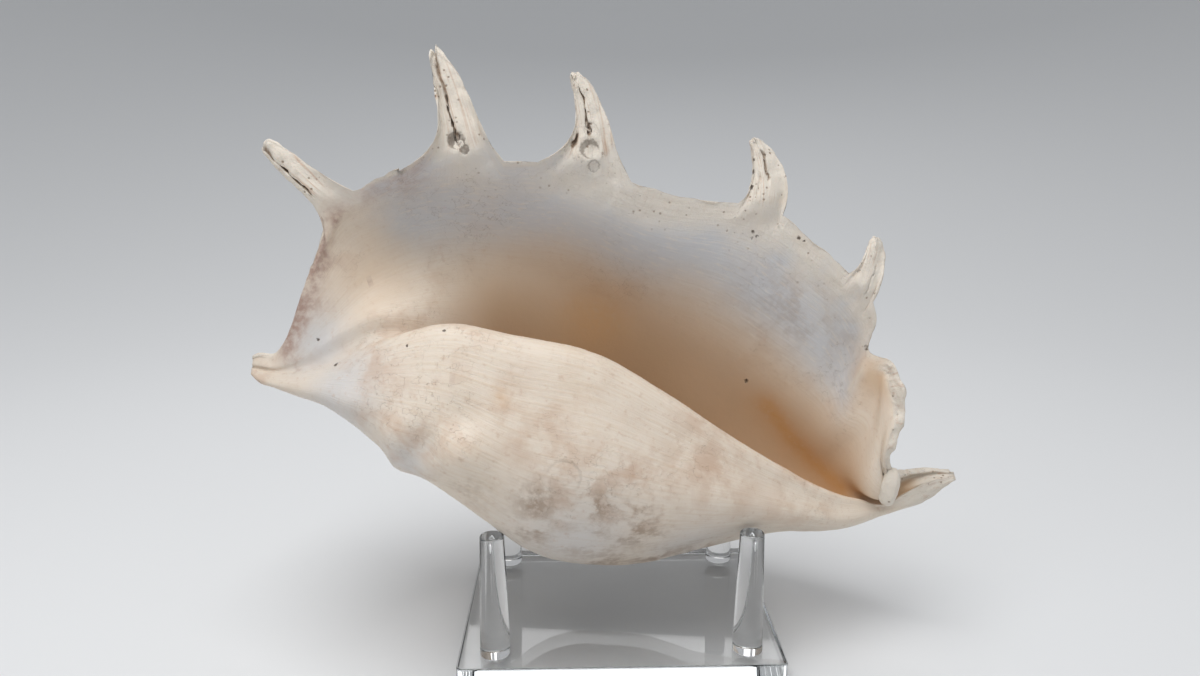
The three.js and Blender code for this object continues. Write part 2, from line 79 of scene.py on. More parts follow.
BELLY_LINE = [
    [0, -113.2, -8, 90.5], [0.04, -110.5, -8.5, 88.5], [0.08, -105.5, -9.5, 87.5], [0.14, -97, -12, 85.5],
    [0.24, -84, -14, 81], [0.31, -67, -15, 66.5], [0.385, -46, -16, 50], [0.45, -29, -16, 36],
    [0.545, -10, -16, 29.5], [0.62, 7, -15, 29], [0.7, 26, -14, 33.5], [0.77, 44, -13, 37],
    [0.84, 61, -11, 37.5], [0.9, 75, -10, 38.3], [0.95, 87, -8, 41.5], [0.975, 96, -7, 44],
    [0.99, 104.5, -6.5, 47.5], [1, 110, -6, 52.8],
]

# Single sizes along the shell, each row [s, value].
FRONT_BULGE = [
    [0, -11], [0.06, -15], [0.14, -21], [0.24, -30], [0.33, -38], [0.45, -44], [0.55, -44], [0.65, -39],
    [0.77, -30], [0.86, -24], [0.93, -17], [1, -8.5],
]
BACK_BULGE = [
    [0, -4], [0.06, 0], [0.1, 8], [0.15, 18], [0.24, 31], [0.33, 40], [0.45, 46], [0.55, 46], [0.65, 40],
    [0.77, 30], [0.86, 22], [0.93, 12], [1, -3],
]
FRONT_GIRTH = [[0, 0.5], [0.4, 0.625], [0.75, 0.265], [1, 0.46]]
BACK_GIRTH = [[0, 0.74], [0.4, 0.8], [0.75, 0.685], [1, 0.74]]
BODY_RISE = [
    [0, 0.1], [0.06, 0.15], [0.11, 0.36], [0.16, 0.46], [0.25, 0.48], [0.34, 0.32], [0.45, 0.14],
    [0.6, 0.06], [1, 0.06],
]
OPENING_WIDTH = [
    [0, 1], [0.14, 4], [0.24, 8], [0.31, 13], [0.38, 27], [0.47, 40], [0.6, 43], [0.72, 39], [0.82, 31],
    [0.9, 18], [0.93, 9], [0.95, 6], [0.97, 6], [0.985, 4.6], [0.993, 0.8], [1, 0.4],
]
OPENING_DEPTH = [
    [0, 0.2], [0.14, 0.2], [0.24, 0.4], [0.3, 2.4], [0.34, 8], [0.39, 20], [0.47, 32], [0.6, 36], [0.7, 34],
    [0.77, 26.5], [0.84, 17.5], [0.9, 11], [0.93, 6], [0.95, 3], [0.97, 2.6], [0.985, 2], [0.993, 0.4],
    [1, 0.2],
]
FOLD_RISE = [[0, 0.1], [0.16, 0.18], [0.26, 0.18], [0.33, 0.09], [0.4, 0.01], [0.45, 0], [1, 0]]
LIP_LOWER_PART = [
    [0, 0.36], [0.88, 0.36], [0.92, 0.29], [0.945, 0.15], [0.962, 0.2], [0.98, 0.36], [1, 0.36],
]
LIP_LOWER_Y = [
    [0, -9.2], [0.05, -10.6], [0.1, -11.6], [0.16, -11.6], [0.24, -8.5], [0.33, 1], [0.42, 11], [0.5, 13],
    [0.6, 12], [0.7, 8], [0.8, 1], [0.86, -4], [0.9, -9.5], [0.93, -16], [0.95, -18.5], [0.965, -12],
    [0.98, -5.6], [1, -7],
]
LIP_UPPER_Y = [
    [0, -8.4], [0.05, -9], [0.1, -9.4], [0.16, -9.4], [0.24, -7.5], [0.33, 1], [0.42, 3], [0.5, -1],
    [0.6, -3], [0.7, -4], [0.8, -5], [0.86, -6], [0.9, -14], [0.93, -18.5], [0.95, -19.8], [0.965, -14.5],
    [0.98, -6.4], [1, -6.5],
]
RIM_THICKNESS = [
    [0, 0.8], [0.1, 2], [0.3, 3.2], [0.6, 3.4], [0.8, 3.2], [0.88, 3.4], [0.93, 4], [0.965, 3.4], [1, 1],
]
ROOT_THICKNESS = [
    [0, 1.5], [0.1, 4], [0.24, 7], [0.4, 9], [0.6, 10], [0.8, 8], [0.9, 6.5], [0.96, 4], [1, 1.2],
]
FLOOR_DROP = [[0, 0.2], [0.1, 0.5], [0.3, 2], [0.5, 3.5], [0.7, 3], [0.9, 1], [1, 0.2]]
RIM_MARGIN = [
    [0, 0.4], [0.05, 0.7], [0.09, 1.2], [0.13, 2.3], [0.2, 4], [0.25, 5], [0.5, 6], [0.85, 6], [0.9, 5],
    [0.93, 4], [0.95, 3], [0.961, 2], [0.97, 1.3], [1, 0.6],
]
LIP_INWARD = [
    [0, 0], [0.88, 0], [0.905, -0.4], [0.92, -2.6], [0.933, -4], [0.944, -3.2], [0.953, -1.6],
    [0.962, -0.5], [0.97, 0], [1, 0],
]
LIP_LOWER_SHIFT = [
    [0, 0], [0.88, 0], [0.905, -0.2], [0.92, -1.3], [0.933, -1.6], [0.944, 0.2], [0.953, 2.4], [0.962, 2.6],
    [0.972, 0.6], [0.98, 0], [1, 0],
]

# Places round a section of its control points: lip back, body back, floor, body front, crest,
# opening, lip front.
SECTION_KNOTS = [0, 4, 11, 22, 33, 46, 58, 70, 78, 86, 97, 106, 113, 122, 132, 144, 154, 164, 171, 175]
RIM_BACK_KNOT = SECTION_KNOTS[1]
RIM_FRONT_KNOT = SECTION_KNOTS[-2]
LAST_KNOT = SECTION_KNOTS[-1]
# Place of the lip's upper control point from crest to rim, and the share of half the rim's thickness
# that lies in front of its middle.
LIP_UPPER_PART = 0.72
FRONT_SHARE = 0.35
# Powers and shares that shape the margin of the lip and its digits.
TIP_ROUNDNESS = 3.0
TIP_RAGGEDNESS = 0.018
DIGIT_TAPER = 0.7
DIGIT_RISE = 0.35
ROW_SLIDE_END = 0.2
THINNING = 1.7
BLUNTING = 2.5

# Digits of the lip: place on the rim, spread of the foot to both sides, tip, bend of the middle, half
# widths of both sides at foot and tip, flare of both sides of the foot, half thickness and the notch at
# the tip. Each crack is (place across at its start, place across at its end, start and end along the
# digit, half width at start and end, depth).
DIGITS = [
    {"s": 0.274, "before": 0.031, "after": 0.022, "tip": (-105.4, -6, 160.6), "bend": (-0.7, 1, 0.4),
     "foot": (3.3, 3.7), "end": (3.9, 4.3), "flare": (8, 5), "thick": 3.2, "notch": 0.0,
     "cracks": [(-0.1, -0.25, 0.3, 0.86, 0.06, 0.1, 1.6), (-0.22, -0.05, 0.76, 0.98, 0.1, 0.32, 1.1)]},
    {"s": 0.424, "before": 0.056, "after": 0.029, "tip": (-55.4, -2, 188.3), "bend": (1.6, 0.5, -0.4),
     "foot": (5.3, 6.7), "end": (4.1, 4.5), "flare": (6, 7), "thick": 4.6, "notch": 0.06,
     "cracks": [(-0.05, -0.15, 0.36, 0.7, 0.04, 0.06, 2.0), (-0.12, 0.06, 0.6, 1.0, 0.1, 0.3, 1.15)]},
    {"s": 0.545, "before": 0.064, "after": 0.036, "tip": (-14.1, 2, 181.4), "bend": (2.3, 0.5, 0.9),
     "foot": (5.5, 5.5), "end": (3.3, 3.3), "flare": (4.4, 6.7), "thick": 4.6, "notch": 0.0,
     "cracks": [(0.0, 0.1, 0.42, 0.88, 0.05, 0.04, 1.6), (-0.78, -0.72, 0.3, 0.48, 0.1, 0.06, 1.6)]},
    {"s": 0.702, "before": 0.027, "after": 0.015, "tip": (41.1, 4, 162.1), "bend": (2.4, 0.5, 1.5),
     "foot": (6.3, 6.6), "end": (3, 3.4), "flare": (5.3, 6.3), "thick": 4.6, "notch": 0.0,
     "cracks": [(-0.5, -0.3, 0.32, 0.6, 0.06, 0.05, 0.7), (0.2, 0.15, 0.45, 0.85, 0.05, 0.05, 1.2)]},
    {"s": 0.816, "before": 0.018, "after": 0.013, "tip": (80.9, 0, 132.1), "bend": (1.1, 0, 0.4),
     "foot": (4.1, 4.1), "end": (3.2, 3.5), "flare": (3.5, 5), "thick": 4, "notch": 0.0,
     "cracks": [(0.35, 0.5, 0.2, 0.62, 0.05, 0.05, 1.0)]},
]

# Rounded knobs, each row [x, y, z, radius, height].
KNOBS = [
    [-47, 40, 116, 13, 5], [-50, 44, 78, 12, 4], [-12, 42, 108, 12, 3.5], [-14, 46, 66, 11, 3],
    [22, 36, 84, 10, 2.5], [-74, 32, 104, 9, 2.5], [-80, -30.5, 89.5, 4, 1.2], [-64, -37, 81, 5.5, 3.2],
    [-46.8, -41.3, 77.3, 8, 4], [-45.5, -40, 86, 6, -2.4], [-55.5, -39, 79.5, 4.5, -2],
    [-63.5, -32, 73, 5, 3], [-55, -36, 71.5, 5.5, 2.4],
]
BACK_RIDGE = 2.4
BACK_RIDGE_SPREAD = 0.018

# Low spire coiled behind the blunt end.
SPIRE_APEX = (-99, 16, 100)
SPIRE_AXIS = (-0.82, 0.55, 0.12)
SPIRE_REACH = 30
SPIRE_PITCH = 9.5
SPIRE_GROOVE = 1.5
SPIRE_HEIGHT = 5

# Broken end of the lobe that hangs in front of the canal.
LOBE_END_CENTRE = (84.3, -18.6, 56)
LOBE_END_DOWN = (-0.12, 0.05, -1)
LOBE_END_ACROSS = (0.9, -0.43, 0)
LOBE_END_TALL = 6.2
LOBE_END_WIDE = 2.8
LOBE_END_DEEP = 3.0
LOBE_END_ROWS = 24
LOBE_END_COLUMNS = 36
LOBE_END_PLACE = 0.95

# Round scars at the feet of two digits, each row [x, y, z, radius, depth, shift of the paler disc in it
# along x and z, radius of that disc, shade].
# The dark crescent each scar leaves, mostly at its top, is partly its grey-brown tone and partly painted
# shadow under its upper edge.
SCARS = [
    [-48.8, -7, 166.4, 1.4, 0.7, 0.2, -0.6, 0.8, 0.9], [-48.2, -9.8, 162, 2.6, 1.1, 0.6, -1.1, 1.5, 0.85],
    [-47.6, -9.9, 161.2, 0.9, 0.3, 0.3, -0.3, 0.5, 0.7],
    [-45.8, -10.4, 159.5, 1.5, 0.8, -0.5, -0.2, 0.7, 0.9],
    [-8.8, -5.6, 164.9, 2.2, 0.5, 0.1, -0.2, 1.9, 0.4], [-9.2, -7.8, 159.6, 3.1, 1.2, 0.5, -0.6, 2.4, 0.75],
    [-8, -7.6, 154.4, 1.9, 0.7, 0.1, -0.2, 1.55, 0.5],
]
# Faint raised ring on the body, in the same order.
RING_SCAR = [-17.3, -44.3, 71, 4.9, 0.35, -0.2, -0.3, 4.75, 0.45]
# Shares of chalk on their edges, and reach of those edges, as a share of the radius.
SCAR_EDGE = 0.6
RING_EDGE = 0.2
SCAR_HALO = 1.3
# Raised lip of a scar: height as a share of its depth, then place and width as shares of its radius.
SCAR_LIP = (0.25, 1.2, 0.3)
# Softness of the outlines of scars, of the discs in them and of pits.
SCAR_SOFT = 0.1
DISC_SOFT = 0.12
PIT_SOFT = 0.35
# Small dark pits, each row [x, y, z, radius].
PITS = [
    [-92.1, -11.5, 102.9, 0.5], [-84.8, -19.2, 96.8, 0.75], [-83.5, -18.7, 97.4, 0.6],
    [-62.3, -26.9, 104.8, 0.45], [-51.4, -26.8, 109.1, 0.4], [-34.5, -35.6, 91.5, 0.8],
    [43.8, 9.9, 82.8, 0.9], [40.6, -5, 134.6, 0.7], [42, -5.2, 133.2, 0.6], [40.4, -5, 132.6, 0.5],
    [77.7, -8.8, 98.6, 1.0], [-74, -24, 84, 0.6], [54.6, -7, 132.6, 0.7], [56.2, -7, 131.6, 0.6],
    [40.5, -1.3, 152.3, 0.9], [39.6, -4.5, 147.8, 0.8], [40.9, -0.6, 155.9, 0.5], [40, -3, 150, 0.6],
    [73.1, -7.3, 122.6, 0.7],
]

# Places of colour, each row [x, y, z, reach, strength].
TAN_PLACES = [
    [-20.5, -41.8, 79.7, 9, 0.5], [-27.6, -42.2, 79.5, 7, 0.7], [-20.6, -38.3, 87, 5, 0.6],
    [28.5, -32.6, 65.2, 11, 0.7], [5.5, -38.9, 72.4, 6, 0.8], [1.7, -36, 84, 5, 0.4],
    [33.8, -32.1, 61.3, 10, 0.6], [47.4, -29.4, 53.3, 7, 0.6], [10, -40.3, 63.7, 12, 0.4],
    [-34, -36, 90, 8, 0.5], [-18, -36, 91, 14, 0.3], [22.7, -28.7, 79, 9, 0.3], [41, -6.8, 138, 7, 0.3],
    [54.6, -7.7, 132.3, 7, 0.5], [-47, 40, 116, 18, 0.6], [-12, 42, 108, 16, 0.55], [-14, 46, 66, 20, 0.6],
    [22, 36, 84, 15, 0.5], [-99, 16, 100, 22, 0.6], [62, -7, 122, 12, 0.35],
]
GRIME_PLACES = [
    [-25.2, -43.8, 62.9, 6, 0.9], [-7.1, -43.4, 61.8, 5, 0.9], [4.5, -41, 58.5, 4.5, 1],
    [4.4, -36.5, 49.6, 8, 0.9], [-27.7, -38.7, 51.4, 8, 0.7], [-8, -36, 46, 14, 0.45],
    [-4.6, -24.8, 34.8, 9, 0.8], [9.3, -19.7, 32.6, 9, 0.9], [22.3, -14.9, 32.9, 10, 0.8],
    [-45, -39, 66, 9, 0.35], [-20, 30, 40, 26, 0.6], [30, 24, 44, 22, 0.5], [58, -5, 110, 16, 0.4],
    [76, -8, 104, 8, 0.4],
]
# Painted bluish-grey shade on the blunt end and low on the front of the body, drawn in the lip's colour.
PAINTED_SHADE_PLACES = [
    [-92, -11, 102, 11, 0.8], [-80, -25, 91, 13, 0.8], [-62, -38, 74, 8, 0.6], [-15, -36, 48, 20, 0.6],
    [20, -26, 40, 16, 0.5],
]
PEACH_PLACES = [[-75.4, -2.5, 121, 12, 0.5], [78.4, -14.7, 91.4, 9, 0.9], [-47.6, 5, 115, 14, 0.3]]
RUST_PLACES = [
    [-7, 16.6, 103, 12, 0.45], [-12, 16.3, 107, 7, 0.4], [74, -7.2, 123, 3, 0.8],
    [-87.4, -12.8, 95.2, 1.2, 0.6], [55, -6, 132.6, 1.8, 0.7], [49.6, -3.8, 144, 1.6, 0.6],
    [-34.5, -35.6, 91.5, 2.2, 0.5],
]
RUST_BAND = [[50.7, 8.5, 74.2], [58.9, 7.5, 63.1], [65.1, 5.6, 56.5], [69.2, 2.9, 52.6], [73.7, -3.4, 49.4]]
FOLD_LINE = [[77.9, -10, 95.4], [75.7, -9.7, 90.2], [73.3, -7.6, 84.4]]

# Colours of the shell on a screen: label, what it is on, and red, green and blue from 0 to 255.
SHELL_COLOURS = {
    "cream": ("Cream", "Clean shell", (226, 213, 197)),
    "warm": ("Warm cream", "Lines along the shell", (216, 196, 172)),
    "tan": ("Tan", "Stains on the body and back", (190, 156, 130)),
    "grime": ("Grime", "Grey-brown patches under the body", (146, 122, 100)),
    "stain": ("Pit stain", "Small holes and hairline cracks", (128, 100, 74)),
    # The scar colour's crescents are partly the scars' grey-brown tone and partly painted shadow under their
    # upper edges.
    "scar": ("Scar", "Grey-brown shade in the round scars", (112, 100, 88)),
    # The lip colour is partly the lip face's own greyer cream and partly painted shade; it also serves for
    # painted bluish-grey shade on the body.
    "lip": ("Lip", "Greyer cream on the face of the lip", (197, 199, 203)),
    # The throat colour is partly the opening's own brown-orange and partly painted shade deep inside it.
    "throat": ("Throat", "Deep inside the opening", (175, 142, 108)),
    "peach": ("Peach", "Smooth wall of the opening", (213, 185, 154)),
    "rust": ("Rust", "Orange stains in the opening", (206, 156, 98)),
    "mauve": ("Mauve", "Edge of the wing", (170, 143, 131)),
    # Chalk also brightens a band on the lip's face near the rim, partly as painted light.
    "chalk": ("Chalk", "Worn digits and edges", (224, 215, 202)),
    "dirt": ("Dirt", "Cracks, scars and pits", (70, 56, 44)),
}

# Sizes of the stand in metres: label, what it is, and size.
STAND_SIZES = {
    "plate_width": ("Plate width", "Along X", 0.1016),
    "plate_depth": ("Plate depth", "Along Y", 0.0762),
    "plate_thickness": ("Plate thickness", "Of the plate", 0.00635),
    "peg_spacing_x": ("Peg spacing X", "Between pegs along X", 0.0788),
    "peg_spacing_y": ("Peg spacing Y", "Between pegs along Y", 0.059),
    "peg_height": ("Peg height", "From plate to tip", 0.04),
    "peg_foot": ("Peg foot radius", "At the plate", 0.00475),
    "peg_top": ("Peg top radius", "At the tip", 0.0037),
    "bevel": ("Edge radius", "Of plate and pegs", 0.0006),
    "gap": ("Glue gap", "Between plate and pegs", 0.0001),
}

# Floor that is flat round the stand and rises away from it, in millimetres
FLOOR_FLAT = 500
FLOOR_END = 2000
FLOOR_BEND = 2000
FLOOR_GAP = 0.05

# Soft square lights: name, place and size in metres, the value that sets the watts, and its share.
LIGHTS = (
    ("key", (-0.12, -0.22, 0.85), 0.6, "key_light", 1.0),
    ("fill_left", (-0.75, -0.55, 0.45), 0.6, "fill_light", 0.8),
    ("fill_right", (0.8, -0.5, 0.45), 0.6, "fill_light", 0.6),
    ("back", (0.1, 0.9, 1.0), 0.7, "fill_light", 2.7),
)
LIGHT_AIM = (0, 0, 0.09)
ROOM_COLOUR = (0.95, 0.97, 1.0, 1.0)
SENSOR_WIDTH = 36

# Zones along the shell in s, then round a section in t: start, full from, full to and end.
LOBE_SPAN = (0.872, 0.9, 0.955, 0.968)
LOBE_CHALK_SPAN = (0.875, 0.9, 0.958, 0.972)
LOBE_BROKEN_SPAN = (0.88, 0.9, 0.958, 0.972)
# Stretch of the lip's face whose band near the rim is brightened, partly as painted light.
FACE_SPAN = (0.44, 0.52, 0.84, 0.87)
MOUTH_SPAN = (0.33, 0.44, 0.965, 0.99)
GUTTER_SPAN = (0.966, 0.974, 0.987, 0.994)
RELIEF_SPAN = (0, 0.05, 0.95, 1)
WING_SPAN = (0.07, 0.12, 0.37, 0.41)
GUTTER_ROUND = (118, 124, 150, 160)
INSIDE_ROUND = (114, 122, 158, 168)
CORDS_ROUND = (4, 12, 58, 72)
RIDGES_ROUND = (3, 10, 30, 52)
SPIRE_ROUND = (12, 20, 62, 74)

# Smooth steps: where each starts and where it is full, in s or, round a section, in t.
PEACH_START = (112, 122)
PEACH_END = (143, 162)
# Throat tint: partly painted shade deep in the opening.
THROAT_START = (121, 131)
THROAT_END = (140, 153)
THROAT_FADE = (0.62, 0.8)
# Lip tint: partly painted shade, with a painted shadow edge across the wing.
LIP_START = (152, 163)
LIP_END = (0.86, 0.885)
CANAL_CHALK = (0.965, 0.985)
BLUNT_START = (0.862, 0.89)
CHIPS_START = (0.06, 0.1)
WING_CHIPS_END = (0.38, 0.42)
FRONT_FROM = 100

# Layers of rough relief: height and cell in millimetres, and seed.
SWELLS = (0.35, 17, 31)
FINE_WEAR = (0.07, 4, 37)
CHALK_WEAR = (0.28, 2.6, 41)
BROKEN_WEAR = (0.75, 3.4, 53)
LOBE_END_WEAR = (0.3, 2.4, 47)
# Noise that moves the edges of tints, bends the growth lines and chips the rim: cell, seed, and layers.
PATCHES = (7, 11)
DRIFT = (24, 13)
CORD_DRIFT = (26, 43)
RIM_CHIPS = (9, 5, 4)
RIM_LENGTH = 300
# Growth lines round the back of the lip, and the fold on the lobe.
CORD_HEIGHT = 0.3
CORDS_PER_KNOT = 1.9
FOLD_HEIGHT = 0.55
FOLD_REACH = 1.1

# Large odd numbers that scatter the noise
HASH_X = 73856093
HASH_Y = 19349663
HASH_Z = 83492791
HASH_SEED = 40503
HASH_FIRST = 1274126177
HASH_SECOND = 739751113
LOW_BITS = 0xFFFFFFFF

# Stand's corners, and fineness of the stand and the floor
PLATE_CORNER = 2.2
BEVEL_STEPS = 6
PLATE_STEPS = 96
PEG_STEPS = 64
FLOOR_RINGS = 30
FLOOR_STEPS = 96

# Fineness of the shell's grid
DIGIT_STEPS = 32
GAP_DENSITY = 150
CANAL_START = 0.9
CANAL_STEPS = 70
LAST_GAP_FINENESS = 1.5
SECTION_STEPS = 136
MARGIN_STEPS = 34


def mix(a, b, f):
    return a + (b - a) * f


def smooth(a, b, v):
    """A smooth step from 0 at a to 1 at b."""
    u = np.clip((v - a) / (b - a), 0, 1)
    return u * u * (3 - 2 * u)


def window(zone, v):
    """1 in the full part of a zone, falling smoothly to 0 at its start and its end."""
    start, full_from, full_to, end = zone
    return smooth(start, full_from, v) * (1 - smooth(full_to, end, v))


def unit(v):
    return v / np.maximum(np.linalg.norm(v, axis=-1, keepdims=True), 1e-12)


def spline(knots, values, x):
    """Natural cubic spline: cubics between knots whose second derivatives match, found from one
    tridiagonal system and zero at both ends."""
    knots = np.asarray(knots, float)
    values = np.asarray(values, float)
    x = np.asarray(x, float)
    flat = values.reshape(len(knots), -1)
    step = np.diff(knots)
    slope = np.diff(flat, axis=0) / step[:, None]
    inner = np.diag(2 * (step[:-1] + step[1:])) + np.diag(step[1:-1], 1) + np.diag(step[1:-1], -1)
    curve = np.zeros_like(flat)
    curve[1:-1] = np.linalg.solve(inner, 6 * np.diff(slope, axis=0))
    i = np.clip(np.searchsorted(knots, x, side="right") - 1, 0, len(knots) - 2)
    h = step[i][:, None]
    a = (knots[i + 1] - x)[:, None]
    b = (x - knots[i])[:, None]
    bends = (curve[i] * a**3 + curve[i + 1] * b**3) / (6 * h)
    chords = (flat[i] / h - curve[i] * h / 6) * a + (flat[i + 1] / h - curve[i + 1] * h / 6) * b
    return (bends + chords).reshape((len(x),) + values.shape[1:])


def along(table, s):
    """A table's spline at s: points for a line, single values for a size."""
    rows = np.asarray(table, float)
    found = spline(rows[:, 0], rows[:, 1:], s)
    return found[:, 0] if found.shape[1] == 1 else found


def noise(points, cell, seed):
    """Smooth noise from -1 to 1: hashed values at the corners of cells of the given size, blended
    across each cell by smooth steps."""
    scaled = points / cell
    base = np.floor(scaled).astype(np.int64)
    part = scaled - base
    part = part * part * (3 - 2 * part)
    total = np.zeros(points.shape[:-1])
    for corner in np.ndindex(2, 2, 2):
        c = base + corner
        h = (c[..., 0] * HASH_X) ^ (c[..., 1] * HASH_Y) ^ (c[..., 2] * HASH_Z) ^ (seed * HASH_SEED)
        h = ((h & LOW_BITS) * HASH_FIRST) & LOW_BITS
        h = ((h ^ (h >> 15)) * HASH_SECOND) & LOW_BITS
        value = ((h >> 8) & 0xFFFF) / 32767.5 - 1
        total += value * np.prod(np.where(corner, part, 1 - part), axis=-1)
    return total


def rough(points, cell, seed, octaves=3):
    """Layers of noise, each half the size and half the height of the one before."""
    return sum(noise(points, cell / 2**k, seed + k) / 2**k for k in range(octaves))


def wear(points, layer):
    """One layer of rough relief."""
    height, cell, seed = layer
    return height * rough(points, cell, seed)


def spot(points, centre, reach):
    """A round bump: a bell curve of the distance from its centre."""
    return np.exp(-((points - np.asarray(centre, float)) ** 2).sum(-1) / reach**2)


def line_spot(points, line, reach):
    """A rounded ridge: a bell curve of the distance from the nearest stretch of a line of points."""
    line = np.asarray(line, float)
    nearest = np.full(points.shape[:-1], np.inf)
    for start, end in zip(line[:-1], line[1:]):
        step = end - start
        part = np.clip((points - start) @ step / (step @ step), 0, 1)
        nearest = np.minimum(nearest, ((points - start - part[..., None] * step) ** 2).sum(-1))
    return np.exp(-nearest / reach**2)


def stations():
    """Values of s along the shell: even between the digits and even across each digit's foot."""
    found = []
    start = 0.0
    for digit in DIGITS:
        low = digit["s"] - digit["before"]
        found += list(np.linspace(start, low, max(2, round((low - start) * GAP_DENSITY)), endpoint=False))
        found += list(np.linspace(low, digit["s"], DIGIT_STEPS, endpoint=False))
        start = digit["s"] + digit["after"]
        found += list(np.linspace(digit["s"], start, DIGIT_STEPS, endpoint=False))
    count = round((CANAL_START - start) * GAP_DENSITY * LAST_GAP_FINENESS)
    found += list(np.linspace(start, CANAL_START, count, endpoint=False))
    found += list(np.linspace(CANAL_START, 1, CANAL_STEPS))
    return np.array(found)


def crack_depth(digit, q, g):
    """How deep the digit's cracks are at q across and g along it: each is a bell across a slanting line
    that fades at both ends."""
    depth = np.zeros(np.broadcast(q, g).shape)
    for q0, q1, g0, g1, w0, w1, deep in digit["cracks"]:
        part = np.clip((g - g0) / (g1 - g0), 0, 1)
        wander = 0.05 * np.sin(23 * g + 40 * digit["s"]) + 0.03 * np.sin(51 * g)
        line = mix(q0, q1, part) + wander
        shown = smooth(g0, g0 + 0.06, g) * (1 - smooth(g1 - 0.04, g1 + 0.02, g) * (g1 < 1))
        depth = np.maximum(depth, deep * shown * np.exp(-(((q - line) / mix(w0, w1, part)) ** 2)))
    return depth


def between(a, b, f, y, drop=0.0):
    """A point part way from a to b, moved to a given y and lowered."""
    p = mix(a, b, f)
    p[:, 1] = y
    p[:, 2] -= drop
    return p


def rim_frame(s):
    """The lip near its edge: where the margin starts, the directions out of the edge and towards the back,
    half the thickness, and the margin's width. On the lobe the way out is square to the rim."""
    rim = along(RIM_LINE, s)
    high = between(along(CREST_LINE, s), rim, LIP_UPPER_PART, along(LIP_UPPER_Y, s))
    high[:, 0] += along(LIP_INWARD, s)
    out = unit(rim - high)
    run = rim_run(s)
    lobe = window(LOBE_SPAN, s)
    out = unit(out - run * (lobe * (out * run).sum(-1))[:, None])
    margin = along(RIM_MARGIN, s)
    return rim - out * margin[:, None], out, facing(s, out), 0.5 * along(RIM_THICKNESS, s), margin


def rim_run(s):
    """The direction of the rim towards the canal."""
    step = 0.02
    return unit(along(RIM_LINE, np.clip(s + step, 0, 1)) - along(RIM_LINE, np.clip(s - step, 0, 1)))


def facing(s, direction):
    """The direction square to the rim and to a direction across it, towards the back."""
    return unit(np.cross(direction, rim_run(s)))


def section_grid(s, t):
    """The shell without its margin: each section is a spline through control points set by the rim, crest
    and belly lines and the sizes along the shell. Plain numbers are shares of the way from one line or size
    to the next."""
    rim = along(RIM_LINE, s)
    crest = along(CREST_LINE, s)
    belly = along(BELLY_LINE, s)
    front_y = along(FRONT_BULGE, s)
    back_y = along(BACK_BULGE, s)
    width = along(OPENING_WIDTH, s)
    depth = along(OPENING_DEPTH, s)
    rise = along(BODY_RISE, s)
    edge = along(RIM_THICKNESS, s)
    root = along(ROOT_THICKNESS, s)
    fold = along(FOLD_RISE, s)[:, None]
    throat = between(crest, rim, 0.04 + fold, crest[:, 1] + width, 0.12 * depth)
    low_part = along(LIP_LOWER_PART, s)[:, None]
    low = between(crest, rim, low_part, along(LIP_LOWER_Y, s))
    high = between(crest, rim, LIP_UPPER_PART, along(LIP_UPPER_Y, s))
    low[:, 0] += along(LIP_LOWER_SHIFT, s)
    high[:, 0] += along(LIP_INWARD, s)
    base, out, face, half, margin = rim_frame(s)
    rim_front = base - face * FRONT_SHARE * half[:, None]
    rim_back = base + face * (2 - FRONT_SHARE) * half[:, None]

    def lip(f):
        f = f[:, None]
        a, b, c = low_part, LIP_UPPER_PART, 1.0
        return (low * (f - b) * (f - c) / ((a - b) * (a - c))
                + high * (f - a) * (f - c) / ((b - a) * (b - c))
                + rim * (f - a) * (f - b) / ((c - a) * (c - b)))

    back_low = lip(mix(rise, 1, 0.36)) + facing(s, high - throat) * mix(root, edge, 0.25)[:, None]
    back_high = lip(mix(rise, 1, 0.7)) + facing(s, rim - low) * mix(root, edge, 0.75)[:, None]
    shoulder = mix(crest, rim, rise[:, None])
    shoulder[:, 1] = np.maximum(throat[:, 1] + root * 1.1, 0.84 * back_y)
    control = np.stack([
        rim_back + out * margin[:, None],
        rim_back,
        back_high,
        back_low,
        shoulder,
        between(belly, crest, 0.52, back_y),
        between(belly, crest, 0.12, mix(belly[:, 1], back_y, along(BACK_GIRTH, s))),
        between(belly, crest, 0, mix(belly[:, 1], back_y, 0.28), along(FLOOR_DROP, s)),
        belly,
        between(belly, crest, 0.12, mix(belly[:, 1], front_y, along(FRONT_GIRTH, s))),
        between(belly, crest, 0.5, front_y),
        between(belly, crest, 0.82, mix(front_y, crest[:, 1], 0.5)),
        crest,
        between(crest, rim, 0.2 * fold, crest[:, 1] + 0.42 * width, 0.38 * depth),
        between(crest, rim, 0.6 * fold, crest[:, 1] + 0.8 * width, depth),
        throat,
        low,
        high,
        rim_front,
        rim_front + out * margin[:, None],
    ])
    return np.moveaxis(spline(SECTION_KNOTS, control, t), 0, 1)


